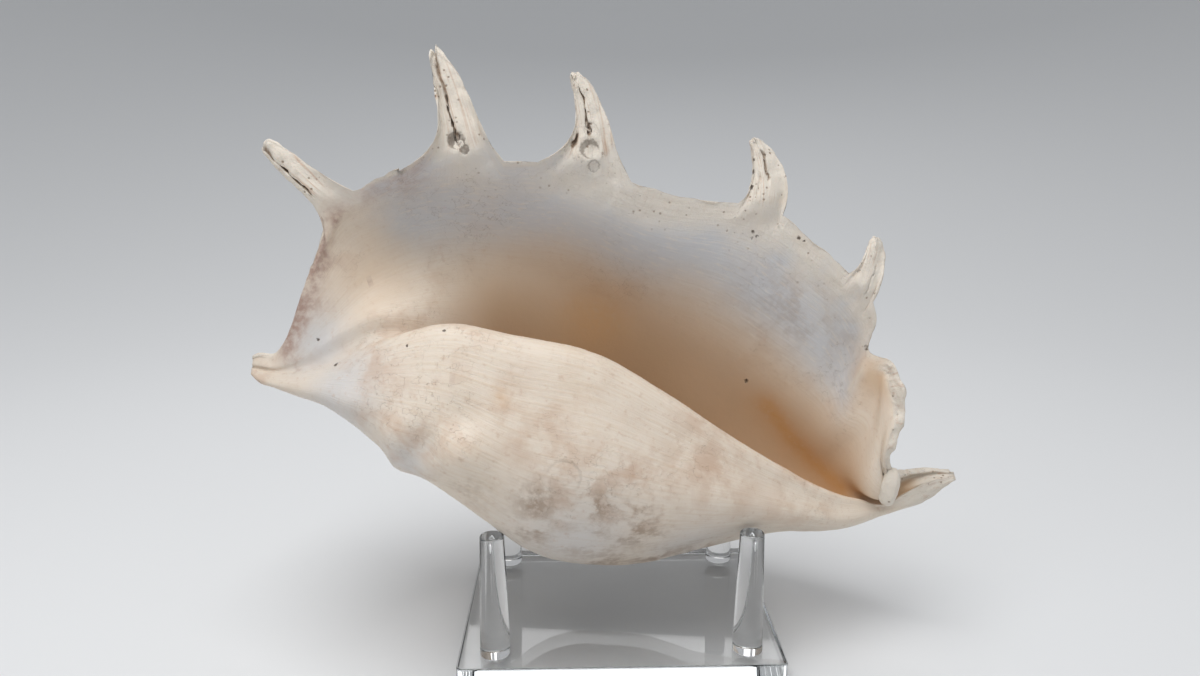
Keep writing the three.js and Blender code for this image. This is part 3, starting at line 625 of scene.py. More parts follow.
def margin_grid(s, u):
    """The margin of the lip on both sides of its middle, for u from its foot to its edge, thinned as
    1 - u^1.7, or rounded as sqrt(1 - u^2.5) on the lobe. Inside a digit, at q across it, it is drawn out
    by g = (1 - |q|^3)^(1/3) u towards the tip, less a little raggedness and the notch, and its foot flares
    as (1 - g)^flare. There rows slide from even steps a across the foot to q = 1 - (1 - a)^3 (1 + 2a)
    across the tip. Returns the back, the front, g and the depth of cracks."""
    u = u[None, :]
    slid = s[:, None] + 0 * u
    across = {}
    for index, digit in enumerate(DIGITS):
        a = np.where(s < digit["s"], (s - digit["s"]) / digit["before"], (s - digit["s"]) / digit["after"])
        inside = np.abs(a) < 1
        a = a[inside][:, None]
        far = np.sign(a) * (1 - (1 - np.abs(a)) ** 3 * (1 + 2 * np.abs(a)))
        q = mix(a, far, smooth(0, ROW_SLIDE_END, u))
        slid[inside] = digit["s"] + q * np.where(q < 0, digit["before"], digit["after"])
        across[index] = inside, q
    shape = slid.shape
    base, out, face, half, margin = (v.reshape(shape + v.shape[1:]) for v in rim_frame(slid.ravel()))
    chips = 0.1 * margin + 0.9 * (1 - smooth(*WING_CHIPS_END, slid))
    margin = margin + chips * rim_wear(slid) * smooth(*CHIPS_START, slid)
    leaving = margin * u
    middle = base + out * leaving[..., None]
    blunt = smooth(*BLUNT_START, slid)
    half = half * mix(1 - u**THINNING, np.sqrt(np.clip(1 - u**BLUNTING, 0, 1)), blunt)
    front_half = half * FRONT_SHARE
    back_half = half * (2 - FRONT_SHARE)
    share = np.zeros(shape)
    crack = np.zeros(shape)
    for index, digit in enumerate(DIGITS):
        inside, q = across[index]
        foot, foot_out, _, _, foot_margin = rim_frame(np.array([digit["s"]]))
        drawn = (1 - np.abs(q) ** TIP_ROUNDNESS) ** (1 / TIP_ROUNDNESS)
        split = np.exp(-(((q + 0.08) / 0.13) ** 2)) + 0.5 * (1 - smooth(-0.3, 0.05, q))
        drawn = drawn - digit["notch"] * split
        ragged = 1 + np.sin(17 * q + 60 * digit["s"]) * np.sin(29 * q)
        drawn = drawn - TIP_RAGGEDNESS * ragged * (1 - np.abs(q))
        g = drawn * u
        full = np.array(digit["tip"], float) - foot[0] - foot_out[0] * foot_margin[0]
        ends = along(RIM_LINE, [digit["s"] - digit["before"], digit["s"] + digit["after"]])
        line = unit(full)
        side = unit(ends[1] - ends[0])
        side = unit(side - line * (side @ line))
        after = smooth(-0.3, 0.3, q)
        foot_half, end_half, power = (mix(*digit[name], after) for name in ("foot", "end", "flare"))
        flare = ((1 - g) ** power)[..., None]
        shaft = (q * mix(foot_half, end_half, g))[..., None] * side * (1 - flare)
        bow = np.array(digit["bend"], float) * (4 * g * (1 - g))[..., None]
        bow[..., 1] += (foot_out[0, 1] * np.linalg.norm(full) - full[1]) * g * (1 - g) ** 3
        leave = unit(mix(foot_out[0], out[inside], flare)) * leaving[inside][..., None]
        stem = foot[0] + (base[inside] - foot[0]) * flare + shaft
        middle[inside] = stem + leave + full * g[..., None] + bow
        q_end = np.maximum((1 - np.clip(g, 0, 1) ** TIP_ROUNDNESS) ** (1 / TIP_ROUNDNESS), 1e-6)
        profile = np.sqrt(np.clip(1 - (q / q_end) ** 2, 0, 1))
        round_half = digit["thick"] * mix(1, DIGIT_TAPER, g) * profile
        risen = smooth(0, DIGIT_RISE, g)
        cut = np.minimum(crack_depth(digit, q, g), 1.5 * round_half) * risen
        front_half[inside] = mix(front_half[inside], round_half, risen) - cut
        back_half[inside] = mix(back_half[inside], round_half, risen)
        share[inside] = g
        crack[inside] = cut
    return middle + face * back_half[..., None], middle - face * front_half[..., None], share, crack


def shell_grid(s):
    """The whole surface on a grid, back margin, sections and front margin side by side. Returns points, t,
    and the share of digit and depth of crack at each point."""
    step = np.linspace(0, 1, MARGIN_STEPS + 1)[1:]
    u = mix(step, np.sin(step * math.pi / 2), 0.6)
    t_main = np.linspace(RIM_BACK_KNOT, RIM_FRONT_KNOT, SECTION_STEPS + 1)
    t_front = RIM_FRONT_KNOT + (LAST_KNOT - RIM_FRONT_KNOT) * u
    t = np.concatenate([RIM_BACK_KNOT * (1 - u[::-1]), t_main, t_front])
    back, front, share, crack = margin_grid(s, u)
    points = np.concatenate([back[:, ::-1], section_grid(s, t_main), front], axis=1)
    none = np.zeros((len(s), len(t_main)))
    share = np.concatenate([share[:, ::-1], none, share], axis=1)
    crack = np.concatenate([np.zeros_like(crack), none, crack], axis=1)
    return close_edge(points), t, share, crack


def close_edge(points):
    """Brings the first and last point of each section together on the edge of the lip."""
    edge = 0.5 * (points[:, 0] + points[:, -1])
    points[:, 0] = edge
    points[:, -1] = edge
    return points


def rim_wear(s):
    """Small steps and chips along the edge of the lip, from -1 to 1."""
    line = np.stack([s * RIM_LENGTH, 0 * s, 0 * s], axis=-1)
    return rough(line, *RIM_CHIPS)


def normals(points):
    """Outward directions: the cross product of the grid's two directions."""
    down = np.gradient(points, axis=0)
    wrapped = np.concatenate([points[:, -2:-1], points, points[:, 1:2]], axis=1)
    return unit(np.cross(down, wrapped[:, 2:] - wrapped[:, :-2]))


def main_relief(points, s, t):
    """Ridges that run from each digit down the back, rounded knobs, and the coil of the spire, whose groove
    winds in by one pitch a turn."""
    s = s[:, None]
    t = t[None, :]
    height = np.zeros(points.shape[:2])
    on_back = window(RIDGES_ROUND, t)
    for digit in DIGITS:
        height += BACK_RIDGE * np.exp(-(((s - digit["s"]) / BACK_RIDGE_SPREAD) ** 2)) * on_back
    for x, y, z, radius, tall in KNOBS:
        height += tall * spot(points, (x, y, z), radius)
    axis = unit(np.array(SPIRE_AXIS))
    arm = points - np.array(SPIRE_APEX, float)
    radial = arm - (arm @ axis)[..., None] * axis
    radius = np.linalg.norm(radial, axis=-1)
    right = unit(np.cross(axis, (0, 0, 1.0)))
    angle = np.arctan2(radial @ np.cross(axis, right), radial @ right)
    zone = window(SPIRE_ROUND, t) * (1 - smooth(0.7 * SPIRE_REACH, SPIRE_REACH, radius))
    turn = np.mod(radius / SPIRE_PITCH - angle / (2 * math.pi), 1)
    whorl = np.abs(np.sin(math.pi * turn)) ** 0.6
    crown = SPIRE_HEIGHT * (1 - smooth(0, 0.8 * SPIRE_REACH, radius))
    height += zone * (SPIRE_GROOVE * (whorl - 0.5) + crown)
    return height * window(RELIEF_SPAN, s)


def shell_tints(points, s, t, share, crack):
    """Shares from 0 to 1 of each finish on the shell: chalky worn parts, also brightening a band on the
    lip's face near the rim partly as painted light, the greyer face of the lip, partly painted shade with
    a painted shadow edge across the wing, the peach opening and its darker throat, partly painted shade,
    tan stains, grime, rust, painted bluish-grey shade on the blunt end and low on the body, the mauve
    edge of the wing, and dirt in the cracks."""
    feet = along(RIM_LINE, [digit["s"] for digit in DIGITS])
    from_rim = np.linalg.norm(points - along(RIM_LINE, s)[:, None], axis=-1)
    s = s[:, None]
    t = t[None, :]
    to_edge = np.minimum(t, LAST_KNOT - t)
    patchy = rough(points, *PATCHES)
    drift = noise(points, *DRIFT)
    edge = 1 - smooth(0.5, 2.4 + 1.2 * patchy, to_edge)
    lobe = window(LOBE_CHALK_SPAN, s) * (1 - smooth(2.8, 4 + 0.6 * patchy, to_edge))
    stub = (1 - smooth(0.05, 0.075, s + 0.01 * patchy)) * (1 - smooth(8, 10, to_edge))
    canal = smooth(*CANAL_CHALK, s)
    chalk = np.maximum.reduce([smooth(0.02, 0.3, share), 0.65 * edge, lobe, stub, canal + 0 * t])
    for foot in feet:
        chalk = np.maximum(chalk, 0.75 * spot(points, foot, 13 + 3 * patchy))
    # A pale band on the lip's face near the rim: partly chalky wear, partly painted light where the lip
    # leans away from the lamp above.
    face = window(FACE_SPAN, s)
    chalk = np.maximum(chalk, 0.85 * face * (1 - smooth(5, 17 + 5 * patchy, from_rim)))
    mouth = window(MOUTH_SPAN, s)
    peach = smooth(*PEACH_START, t) * (1 - smooth(*PEACH_END, t + 3 * drift)) * mouth
    for x, y, z, reach, strength in PEACH_PLACES:
        peach = np.maximum(peach, strength * spot(points, (x, y, z), reach))
    gutter = window(GUTTER_SPAN, s) * window(GUTTER_ROUND, t)
    peach = np.maximum(peach, gutter)
    chalk = np.clip(chalk - gutter, 0, 1)
    # Darker brown-orange deep in the opening: partly its own colour, partly painted shade where the opening
    # is deep.
    throat = smooth(*THROAT_START, t) * (1 - smooth(*THROAT_END, t + 3 * drift)) * mouth
    throat = throat * (1 - 0.75 * smooth(*THROAT_FADE, s))
    # Tan, grime and rust are stains; the last layer is painted bluish-grey shade.
    tan, grime, rust, painted_shade = (np.zeros_like(chalk) for _ in range(4))
    layers = ((TAN_PLACES, tan), (GRIME_PLACES, grime), (RUST_PLACES, rust), (PAINTED_SHADE_PLACES, painted_shade))
    for places, layer in layers:
        for x, y, z, reach, strength in places:
            np.maximum(layer, strength * spot(points, (x, y, z), reach), out=layer)
    band = 0.45 * line_spot(points, RUST_BAND, 6) + 0.35 * line_spot(points, RUST_BAND, 2.4 + 0.8 * patchy)
    rust = np.maximum(rust, band)
    wing = window(WING_SPAN, s) * (t > FRONT_FROM)
    band = smooth(0.4, 1.3, from_rim) * (1 - smooth(5, 15 + 8 * patchy, from_rim))
    mauve = wing * band * (1 - 0.8 * smooth(0.02, 0.2, share)) * (1 - 0.6 * smooth(0.26, 0.3, s))
    chalk = np.maximum(chalk - 0.7 * mauve, 0.7 * line_spot(points, FOLD_LINE, 0.9))
    dirt = np.clip(crack / 1.6, 0, 1) ** 1.8
    # Greyer lip face, partly its own tone and partly painted shade, with a painted shadow edge running
    # diagonally from the first digit's foot towards the crest.
    shaded = s - 0.285 - 0.0022 * (LAST_KNOT - t) + 0.008 * patchy
    lip = smooth(*LIP_START, t + 2 * drift) * smooth(-0.025, 0.045, shaded) * (1 - smooth(*LIP_END, s))
    tints = {
        "chalk": chalk, "lip": lip, "peach": peach, "throat": throat, "tan": tan, "grime": grime,
        "rust": rust, "painted_shade": painted_shade, "mauve": mauve, "dirt": dirt,
    }
    return {name: np.clip(value, 0, 1) for name, value in tints.items()}


def fine_relief(points, s, t, tints):
    """Wear of the surface: low swells all over, a rough chalky face on the digits and edges, a lumpy broken
    edge on the lobe, sunk scars with raised edges, a fold on the lobe and growth lines along the lip."""
    s = s[:, None]
    t = t[None, :]
    inside = window(INSIDE_ROUND, t)
    broken = window(LOBE_BROKEN_SPAN, s) * tints["chalk"]
    height = wear(points, SWELLS) * (1 - 0.8 * inside)
    height += wear(points, FINE_WEAR) * (1 - inside)
    height += wear(points, CHALK_WEAR) * tints["chalk"]
    height += wear(points, BROKEN_WEAR) * broken
    cords = np.sin(CORDS_PER_KNOT * t + 3 * rough(points, *CORD_DRIFT)) * window(CORDS_ROUND, t)
    height += CORD_HEIGHT * cords
    height += FOLD_HEIGHT * line_spot(points, FOLD_LINE, FOLD_REACH)
    lip_height, lip_place, lip_width = SCAR_LIP
    for x, y, z, radius, depth, *_ in SCARS:
        away = np.linalg.norm(points - np.array((x, y, z)), axis=-1) / radius
        raised = lip_height * np.exp(-(((away - lip_place) / lip_width) ** 2))
        height += depth * (raised - np.exp(-(away**4)))
    x, y, z, radius, depth, *_ = RING_SCAR
    away = np.linalg.norm(points - np.array((x, y, z)), axis=-1) / radius
    height += depth * np.exp(-(away**6))
    return height


def lobe_end_grid():
    """A rounded slab: a superellipsoid whose axes are powers 0.8 and 0.7 of sine and cosine."""
    centre = np.array(LOBE_END_CENTRE)
    down = unit(np.array(LOBE_END_DOWN, float))
    across = np.array(LOBE_END_ACROSS, float)
    across = unit(across - down * (across @ down))
    through = np.cross(down, across)

    def power(v, p):
        return np.sign(v) * np.abs(v) ** p

    a = np.linspace(0, math.pi, LOBE_END_ROWS + 1)[:, None]
    b = np.linspace(0, 2 * math.pi, LOBE_END_COLUMNS + 1)[None, :]
    ring = power(np.sin(a), 0.7)
    points = (centre - (LOBE_END_TALL * power(np.cos(a), 0.8) + 0 * b)[..., None] * down
              + (LOBE_END_WIDE * ring * power(np.cos(b), 0.8))[..., None] * across
              + (LOBE_END_DEEP * ring * power(np.sin(b), 0.8))[..., None] * through)
    return points + wear(points, LOBE_END_WEAR)[..., None] * unit(points - centre)


def grid_faces(rows, columns):
    """Faces of a grid whose columns close round, with a point at each end: four-sided between rows and
    three-sided at the ends. Points are numbered row by row, then the first end and the last."""
    i = np.arange(rows - 1)[:, None]
    j = np.arange(columns)[None, :]
    k = (j + 1) % columns
    this_row = i * columns
    next_row = this_row + columns
    sides = np.stack([this_row + j, next_row + j, next_row + k, this_row + k], axis=-1)
    j = j[0]
    k = k[0]
    ends = rows * columns
    low = np.stack([np.full(columns, ends), j, k], axis=-1)
    last_row = ends - columns
    high = np.stack([np.full(columns, ends + 1), last_row + k, last_row + j], axis=-1)
    return sides.reshape(-1, 4), np.concatenate([low, high])


def closed_grid(points):
    """A grid closed round its columns, as vertices and faces turned outwards, with an end point at the
    middle of its first and last row. The last column repeats the first and is left out."""
    ring = points[:, :-1]
    vertices = np.concatenate([ring.reshape(-1, 3), [ring[0].mean(0)], [ring[-1].mean(0)]])
    four, three = grid_faces(*ring.shape[:2])
    corners = vertices[np.concatenate([four[:, [0, 1, 2]], four[:, [0, 2, 3]], three])]
    volume = np.einsum("ij,ij->", corners[:, 0], np.cross(corners[:, 1], corners[:, 2]))
    if volume < 0:
        four = four[:, ::-1]
        three = three[:, ::-1]
    return vertices, four, three


def new_object(name, vertices, four, three, material):
    """A smooth mesh object at the origin from vertices in millimetres and four- and three-sided faces."""
    mesh = bpy.data.meshes.new(name)
    mesh.vertices.add(len(vertices))
    mesh.vertices.foreach_set("co", (np.asarray(vertices) * MM).astype(np.float32).ravel())
    loops = np.concatenate([four.ravel(), three.ravel()])
    totals = np.concatenate([np.full(len(four), 4), np.full(len(three), 3)])
    mesh.loops.add(len(loops))
    mesh.loops.foreach_set("vertex_index", loops.astype(np.int32))
    mesh.polygons.add(len(totals))
    mesh.polygons.foreach_set("loop_start", (np.cumsum(totals) - totals).astype(np.int32))
    mesh.polygons.foreach_set("use_smooth", np.ones(len(totals), bool))
    mesh.update(calc_edges=True)
    mesh.validate()
    mesh.materials.append(material)
    made = bpy.data.objects.new(name, mesh)
    bpy.context.scene.collection.objects.link(made)
    return made


def set_attribute(mesh, name, values):
    layer = mesh.attributes.new(name, "FLOAT", "POINT")
    layer.data.foreach_set("value", np.asarray(values, np.float32))


def make_shell(material):
    """The shell and the broken end of its lobe as one mesh, with its tints as attributes."""
    s = stations()
    points, t, share, crack = shell_grid(s)
    points = close_edge(points + normals(points) * main_relief(points, s, t)[..., None])
    tints = shell_tints(points, s, t, share, crack)
    points = close_edge(points + normals(points) * fine_relief(points, s, t, tints)[..., None])
    vertices, four, three = closed_grid(points)
    end_vertices, end_four, end_three = closed_grid(lobe_end_grid())
    count = len(vertices)
    shell = new_object(
        "conch_shell",
        np.concatenate([vertices, end_vertices]),
        np.concatenate([four, end_four + count]),
        np.concatenate([three, end_three + count]),
        material,
    )
    ring = points.shape[1] - 1
    lines = np.concatenate([np.tile(t[:ring], len(s)), [0, 0], np.zeros(len(end_vertices))])
    lengths = np.concatenate([np.repeat(s, ring), [0, 1], np.full(len(end_vertices), LOBE_END_PLACE)])
    set_attribute(shell.data, "round", lines / LAST_KNOT)
    set_attribute(shell.data, "length", lengths)
    for name, value in tints.items():
        ends = [value[0].mean(), value[-1].mean()]
        lobe = np.full(len(end_vertices), 1.0 if name == "chalk" else 0.0)
        set_attribute(shell.data, name, np.concatenate([value[:, :-1].ravel(), ends, lobe]))
    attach(shell, "root")
    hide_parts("shell")
    return shell


def linear(colour):
    """A screen colour from 0 to 255 as linear light."""
    c = np.asarray(colour, float) / 255
    return tuple(np.where(c <= 0.04045, c / 12.92, ((c + 0.055) / 1.055) ** 2.4)) + (1.0,)


def new_material(name):
    material = bpy.data.materials.new(name)
    material.use_nodes = True
    material.node_tree.nodes.clear()
    return material, material.node_tree


def node(tree, kind, inputs=None, **settings):
    """A shader node with its settings, whose inputs are given as values or as other nodes' outputs."""
    made = tree.nodes.new(kind)
    for name, value in settings.items():
        setattr(made, name, value)
    for name, value in (inputs or {}).items():
        if isinstance(value, bpy.types.NodeSocket):
            tree.links.new(value, made.inputs[name])
        else:
            made.inputs[name].default_value = value
    return made


def calc(tree, operation, a, b=0.0, clamp=False):
    return node(tree, "ShaderNodeMath", {0: a, 1: b}, operation=operation, use_clamp=clamp).outputs[0]


def times(tree, *values):
    """The product of several values."""
    total = values[0]
    for value in values[1:]:
        total = calc(tree, "MULTIPLY", total, value)
    return total


def plus(tree, *values):
    """The sum of several values, kept from 0 to 1."""
    total = values[0]
    for value in values[1:]:
        total = calc(tree, "ADD", total, value, True)
    return total


def blend(tree, share, a, b):
    return node(tree, "ShaderNodeMix", {0: share, 6: a, 7: b}, data_type="RGBA").outputs[2]


def span(tree, value, low, high, to_low=0.0, to_high=1.0):
    inputs = {0: value, 1: low, 2: high, 3: to_low, 4: to_high}
    return node(tree, "ShaderNodeMapRange", inputs, interpolation_type="SMOOTHSTEP").outputs[0]


def cloud(tree, vector, scale, detail=4.0, roughness=0.55):
    inputs = {"Vector": vector, "Scale": scale, "Detail": detail, "Roughness": roughness}
    return node(tree, "ShaderNodeTexNoise", inputs).outputs[0]


def attribute(tree, name):
    return node(tree, "ShaderNodeAttribute", attribute_name=name).outputs["Fac"]


def streak(tree, long, across):
    """A cloud drawn out along the shell or across it, from its own two coordinates."""
    inputs = {"X": calc(tree, "MULTIPLY", attribute(tree, "length"), long),
              "Y": calc(tree, "MULTIPLY", attribute(tree, "round"), across)}
    return cloud(tree, node(tree, "ShaderNodeCombineXYZ", inputs).outputs[0], 1.0, 4.0, 0.6)


def hairlines(tree, value, width):
    """Thin lines where a cloud crosses its middle value."""
    return span(tree, calc(tree, "ABSOLUTE", calc(tree, "SUBTRACT", value, 0.5)), 0.0, width, 1.0, 0.0)


def within(tree, place, centre, radius, soft):
    """1 inside a ball round a point given in millimetres, falling to 0 outside it."""
    point = tuple(v * MM for v in centre)
    far = node(tree, "ShaderNodeVectorMath", {0: place, 1: point}, operation="DISTANCE").outputs["Value"]
    return span(tree, far, radius * (1 - soft) * MM, radius * (1 + soft) * MM, 1.0, 0.0)


def wobble(tree, place, scale, amount):
    """A place moved a little by a cloud, for ragged outlines."""
    inputs = {"Vector": place, "Scale": scale, "Detail": 2.0}
    shift = node(tree, "ShaderNodeTexNoise", inputs).outputs["Color"]
    inputs = {0: shift, 1: (0.5, 0.5, 0.5)}
    moved = node(tree, "ShaderNodeVectorMath", inputs, operation="SUBTRACT").outputs[0]
    inputs = {0: moved, 1: (amount, amount, amount), 2: place}
    return node(tree, "ShaderNodeVectorMath", inputs, operation="MULTIPLY_ADD").outputs[0]


def scar_marks(tree, place):
    """Dark crescents and pale discs of the round scars, and the small pits. The crescents are partly the
    scars' grey-brown tone and partly painted shadow under their upper edges.
    """
    place = wobble(tree, place, 900, 0.0012)
    front = span(tree, attribute(tree, "round"), 0.45, 0.5)
    scar_tone_and_shadow = pale = pits = 0.0
    edged = [(scar, SCAR_EDGE) for scar in SCARS] + [(RING_SCAR, RING_EDGE)]
    for (x, y, z, radius, _, disc_x, disc_z, disc_radius, shade), edge in edged:
        outer = within(tree, place, (x, y, z), radius, SCAR_SOFT)
        inner = within(tree, place, (x + disc_x, y, z + disc_z), disc_radius, DISC_SOFT)
        halo = within(tree, place, (x, y, z), SCAR_HALO * radius, DISC_SOFT)
        crescent_tone_and_shadow = times(tree, calc(tree, "SUBTRACT", outer, inner, True), shade)
        scar_tone_and_shadow = calc(tree, "MAXIMUM", crescent_tone_and_shadow, scar_tone_and_shadow)
        rim = times(tree, calc(tree, "SUBTRACT", halo, outer, True), edge)
        pale = calc(tree, "MAXIMUM", rim, pale)
    for x, y, z, radius in PITS:
        pits = calc(tree, "MAXIMUM", within(tree, place, (x, y, z), radius, PIT_SOFT), pits)
    return times(tree, scar_tone_and_shadow, front), times(tree, pale, front), pits


def shell_material(look):
    """Cream shell with fine threads along it, tan and grey mottling and hairline cracks, peach and rust in
    the opening with a throat darkened partly as painted shade, a greyer lip face that is partly painted
    shade, painted bluish-grey shade on the blunt end and low on the body, a mauve edge on the wing, chalky
    streaked digits and edges with pits, round scars whose dark crescents are partly painted shadow, and
    dirt in the cracks."""
    material, tree = new_material("worn_shell")
    place = node(tree, "ShaderNodeTexCoord").outputs["Object"]
    bent = wobble(tree, place, 60, 0.008)
    large = cloud(tree, bent, 30)
    middle = cloud(tree, bent, 120, 6, 0.6)
    small = cloud(tree, place, 520, 4, 0.6)
    grain = cloud(tree, place, 1900, 3, 0.65)
    threads = streak(tree, 16.0, 420.0)
    fibres = streak(tree, 380.0, 45.0)
    chalk = attribute(tree, "chalk")
    inside = plus(tree, attribute(tree, "peach"), attribute(tree, "throat"))
    outside = calc(tree, "SUBTRACT", 1.0, inside, True)
    lip = attribute(tree, "lip")
    plain = times(tree, outside, span(tree, lip, 0.0, 1.0, 1.0, 0.15))
    brushed = span(tree, streak(tree, 70.0, 300.0), 0.5, 0.7)
    cracks = hairlines(tree, cloud(tree, place, 210, 3), 0.006)
    cracks = times(tree, cracks, span(tree, large, 0.45, 0.6), outside)
    scar_tone_and_shadow, pale, pits = scar_marks(tree, place)

    stain = plus(tree, times(tree, attribute(tree, "tan"), span(tree, middle, 0.32, 0.6)),
                 times(tree, span(tree, large, 0.45, 0.7), span(tree, middle, 0.42, 0.62), plain, 0.6))
    grime = times(tree, attribute(tree, "grime"), span(tree, middle, 0.4, 0.56),
                  span(tree, small, 0.35, 0.55, 0.35, 1.0))
    rust = times(tree, attribute(tree, "rust"), span(tree, small, 0.15, 0.55, 0.45, 1.0))
    mauve = times(tree, attribute(tree, "mauve"), span(tree, middle, 0.34, 0.56, 0.25, 1.0),
                  span(tree, small, 0.35, 0.6, 0.5, 1.0))
    worn = times(tree, span(tree, chalk, 0.8, 1.0), span(tree, fibres, 0.5, 0.68),
                 span(tree, middle, 0.35, 0.6))
    holes = node(tree, "ShaderNodeTexVoronoi", {"Vector": place, "Scale": 430.0}).outputs["Distance"]
    holes = times(tree, span(tree, holes, 0.1, 0.2, 1.0, 0.0), span(tree, middle, 0.46, 0.58), chalk)
    dirt = attribute(tree, "dirt")
    soil = plus(tree, times(tree, span(tree, dirt, 0.45, 0.9), span(tree, grain, 0.25, 0.5, 0.6, 1.0)), pits)
    colour = look.cream
    for share, over in (
        (times(tree, span(tree, threads, 0.42, 0.66), outside, 0.45), look.warm),
        # Painted bluish-grey shade, in the lip's colour, on the blunt end and low on the body.
        (times(tree, attribute(tree, "painted_shade"), 0.9), look.lip),
        # The lip face's greyer tone, partly painted shade beyond a painted diagonal shadow edge.
        (times(tree, lip, 0.9), look.lip),
        (times(tree, brushed, lip, 0.45), look.chalk),
        (times(tree, span(tree, small, 0.55, 0.75), plain, 0.35), look.tan),
        (times(tree, stain, 0.7), look.tan),
        (times(tree, grime, 0.8), look.grime),
        (attribute(tree, "peach"), look.peach),
        # Throat: partly its own brown-orange, partly painted shade deep in the opening.
        (times(tree, attribute(tree, "throat"), 0.95), look.throat),
        (rust, look.rust),
        (mauve, look.mauve),
        (times(tree, chalk, span(tree, middle, 0.25, 0.5, 0.7, 1.0)), look.chalk),
        (times(tree, worn, 0.7), look.tan),
        (times(tree, plus(tree, holes, times(tree, cracks, 0.4)), 0.7), look.stain),
        (times(tree, pale, 0.7), look.chalk),
        # Scar crescents: grey-brown tone, partly painted shadow under their upper edges.
        (times(tree, scar_tone_and_shadow, span(tree, small, 0.3, 0.55, 0.4, 0.9)), look.scar),
        (times(tree, span(tree, dirt, 0.08, 0.5), span(tree, small, 0.3, 0.6, 0.5, 0.85)), look.stain),
        (times(tree, soil, 0.9), look.dirt),
    ):
        colour = blend(tree, share, colour, over)

    shine = span(tree, small, 0.2, 0.8, 0.44, 0.56)
    shine = plus(tree, shine, times(tree, chalk, 0.26))
    shine = calc(tree, "SUBTRACT", shine, times(tree, inside, 0.08), True)
    relief = plus(tree, times(tree, threads, outside, 0.45), times(tree, small, 0.2))
    relief = plus(tree, relief, times(tree, grain, chalk, 0.5), times(tree, fibres, chalk, 0.6))
    sunk = plus(tree, holes, times(tree, cracks, 0.5), times(tree, scar_tone_and_shadow, 0.6), pits)
    relief = calc(tree, "SUBTRACT", relief, times(tree, sunk, 0.6))
    bump = node(tree, "ShaderNodeBump", {"Strength": 0.6, "Distance": 0.0007, "Height": relief}).outputs[0]
    surface = node(tree, "ShaderNodeBsdfPrincipled", {
        "Base Color": colour, "Roughness": shine, "Normal": bump, "Specular IOR Level": 0.45,
        "Subsurface Weight": 0.06, "Subsurface Radius": (0.004, 0.0025, 0.0015), "Subsurface Scale": 1.0,
    })
    node(tree, "ShaderNodeOutputMaterial", {"Surface": surface.outputs[0]})
    return material


def acrylic_material(look):
    """Clear polished acrylic: plain transmission with a faint absorption."""
    material, tree = new_material("clear_acrylic")
    surface = node(tree, "ShaderNodeBsdfPrincipled", {
        "Base Color": (1, 1, 1, 1), "Roughness": 0.02, "IOR": look.bending, "Transmission Weight": 1.0,
    })
    volume = node(tree, "ShaderNodeVolumeAbsorption", {"Color": look.tint, "Density": look.absorption})
    node(tree, "ShaderNodeOutputMaterial", {"Surface": surface.outputs[0], "Volume": volume.outputs[0]})
    return material


def side_profile(tall, bevel):
    """Inset and height of a side with quarter-round edges, from the flat underside to the flat top."""
    turn = np.linspace(0, math.pi / 2, BEVEL_STEPS + 1)
    flat = [2 * bevel]
    inset = np.concatenate([flat, bevel * (1 - np.sin(turn)), bevel * (1 - np.cos(turn)), flat])
    height = np.concatenate([[0.0], bevel * (1 - np.cos(turn)), tall - bevel + bevel * np.sin(turn), [tall]])
    return inset[:, None], height[:, None]


def plate_grid(width, depth, tall, corner, bevel):
    """A flat plate: its side profile carried round a rectangle with small round corners."""
    inset, height = side_profile(tall, bevel)
    angle = np.linspace(0, 2 * math.pi, PLATE_STEPS + 1)
    x = np.round(np.cos(angle), 9)
    y = np.round(np.sin(angle), 9)
    return np.stack([
        (width / 2 - corner) * np.sign(x) + (corner - inset) * x,
        (depth / 2 - corner) * np.sign(y) + (corner - inset) * y,
        height + 0 * x,
    ], axis=-1)


def peg_grid(x, y, low, tall, foot, top, bevel):
    """A round peg: a side that tapers from foot to top, turned about an upright axis."""
    inset, height = side_profile(tall, bevel)
    radius = mix(foot, top, height / tall) - inset
    angle = np.linspace(0, 2 * math.pi, PEG_STEPS + 1)
    across = x + radius * np.cos(angle)
    along_y = y + radius * np.sin(angle)
    return np.stack([across, along_y, low + height + 0 * angle], axis=-1)


def dished_floor():
    """A round floor just under the stand: flat in the middle, then rising all round as the square of the
    distance beyond the flat part. Returns its points and faces."""
    reach = np.linspace(FLOOR_FLAT, FLOOR_END, FLOOR_RINGS + 1)[:, None]
    angle = np.linspace(0, 2 * math.pi, FLOOR_STEPS + 1)[None, :-1]
    height = (reach - FLOOR_FLAT) ** 2 / (2 * FLOOR_BEND) - FLOOR_GAP
    points = np.stack([reach * np.cos(angle), reach * np.sin(angle), height + 0 * angle], axis=-1)
    rows, columns = points.shape[:2]
    four, three = grid_faces(rows, columns)
    return np.concatenate([points.reshape(-1, 3), [[0, 0, -FLOOR_GAP]]]), four, three[:columns]


class ShellLook(bpy.types.PropertyGroup):
    """Colours of the shell, one for each row of SHELL_COLOURS."""

    __annotations__ = {
        key: FloatVectorProperty(
            name=label, description=words, size=4, subtype="COLOR", default=linear(colour))
        for key, (label, words, colour) in SHELL_COLOURS.items()
    }


class StandLook(bpy.types.PropertyGroup):
    """Sizes of the stand, one for each row of STAND_SIZES, and its clear material."""

    __annotations__ = {
        key: FloatProperty(name=label, description=words, default=size, unit="LENGTH")
        for key, (label, words, size) in STAND_SIZES.items()
    }
    bending: FloatProperty(name="Index of refraction", description="Of acrylic", default=1.49)
    absorption: FloatProperty(name="Absorption", description="Density per metre", default=3.0)
    tint: FloatVectorProperty(
        name="Tint", description="Colour through thick acrylic", size=4, subtype="COLOR",
        default=linear((222, 240, 244)))


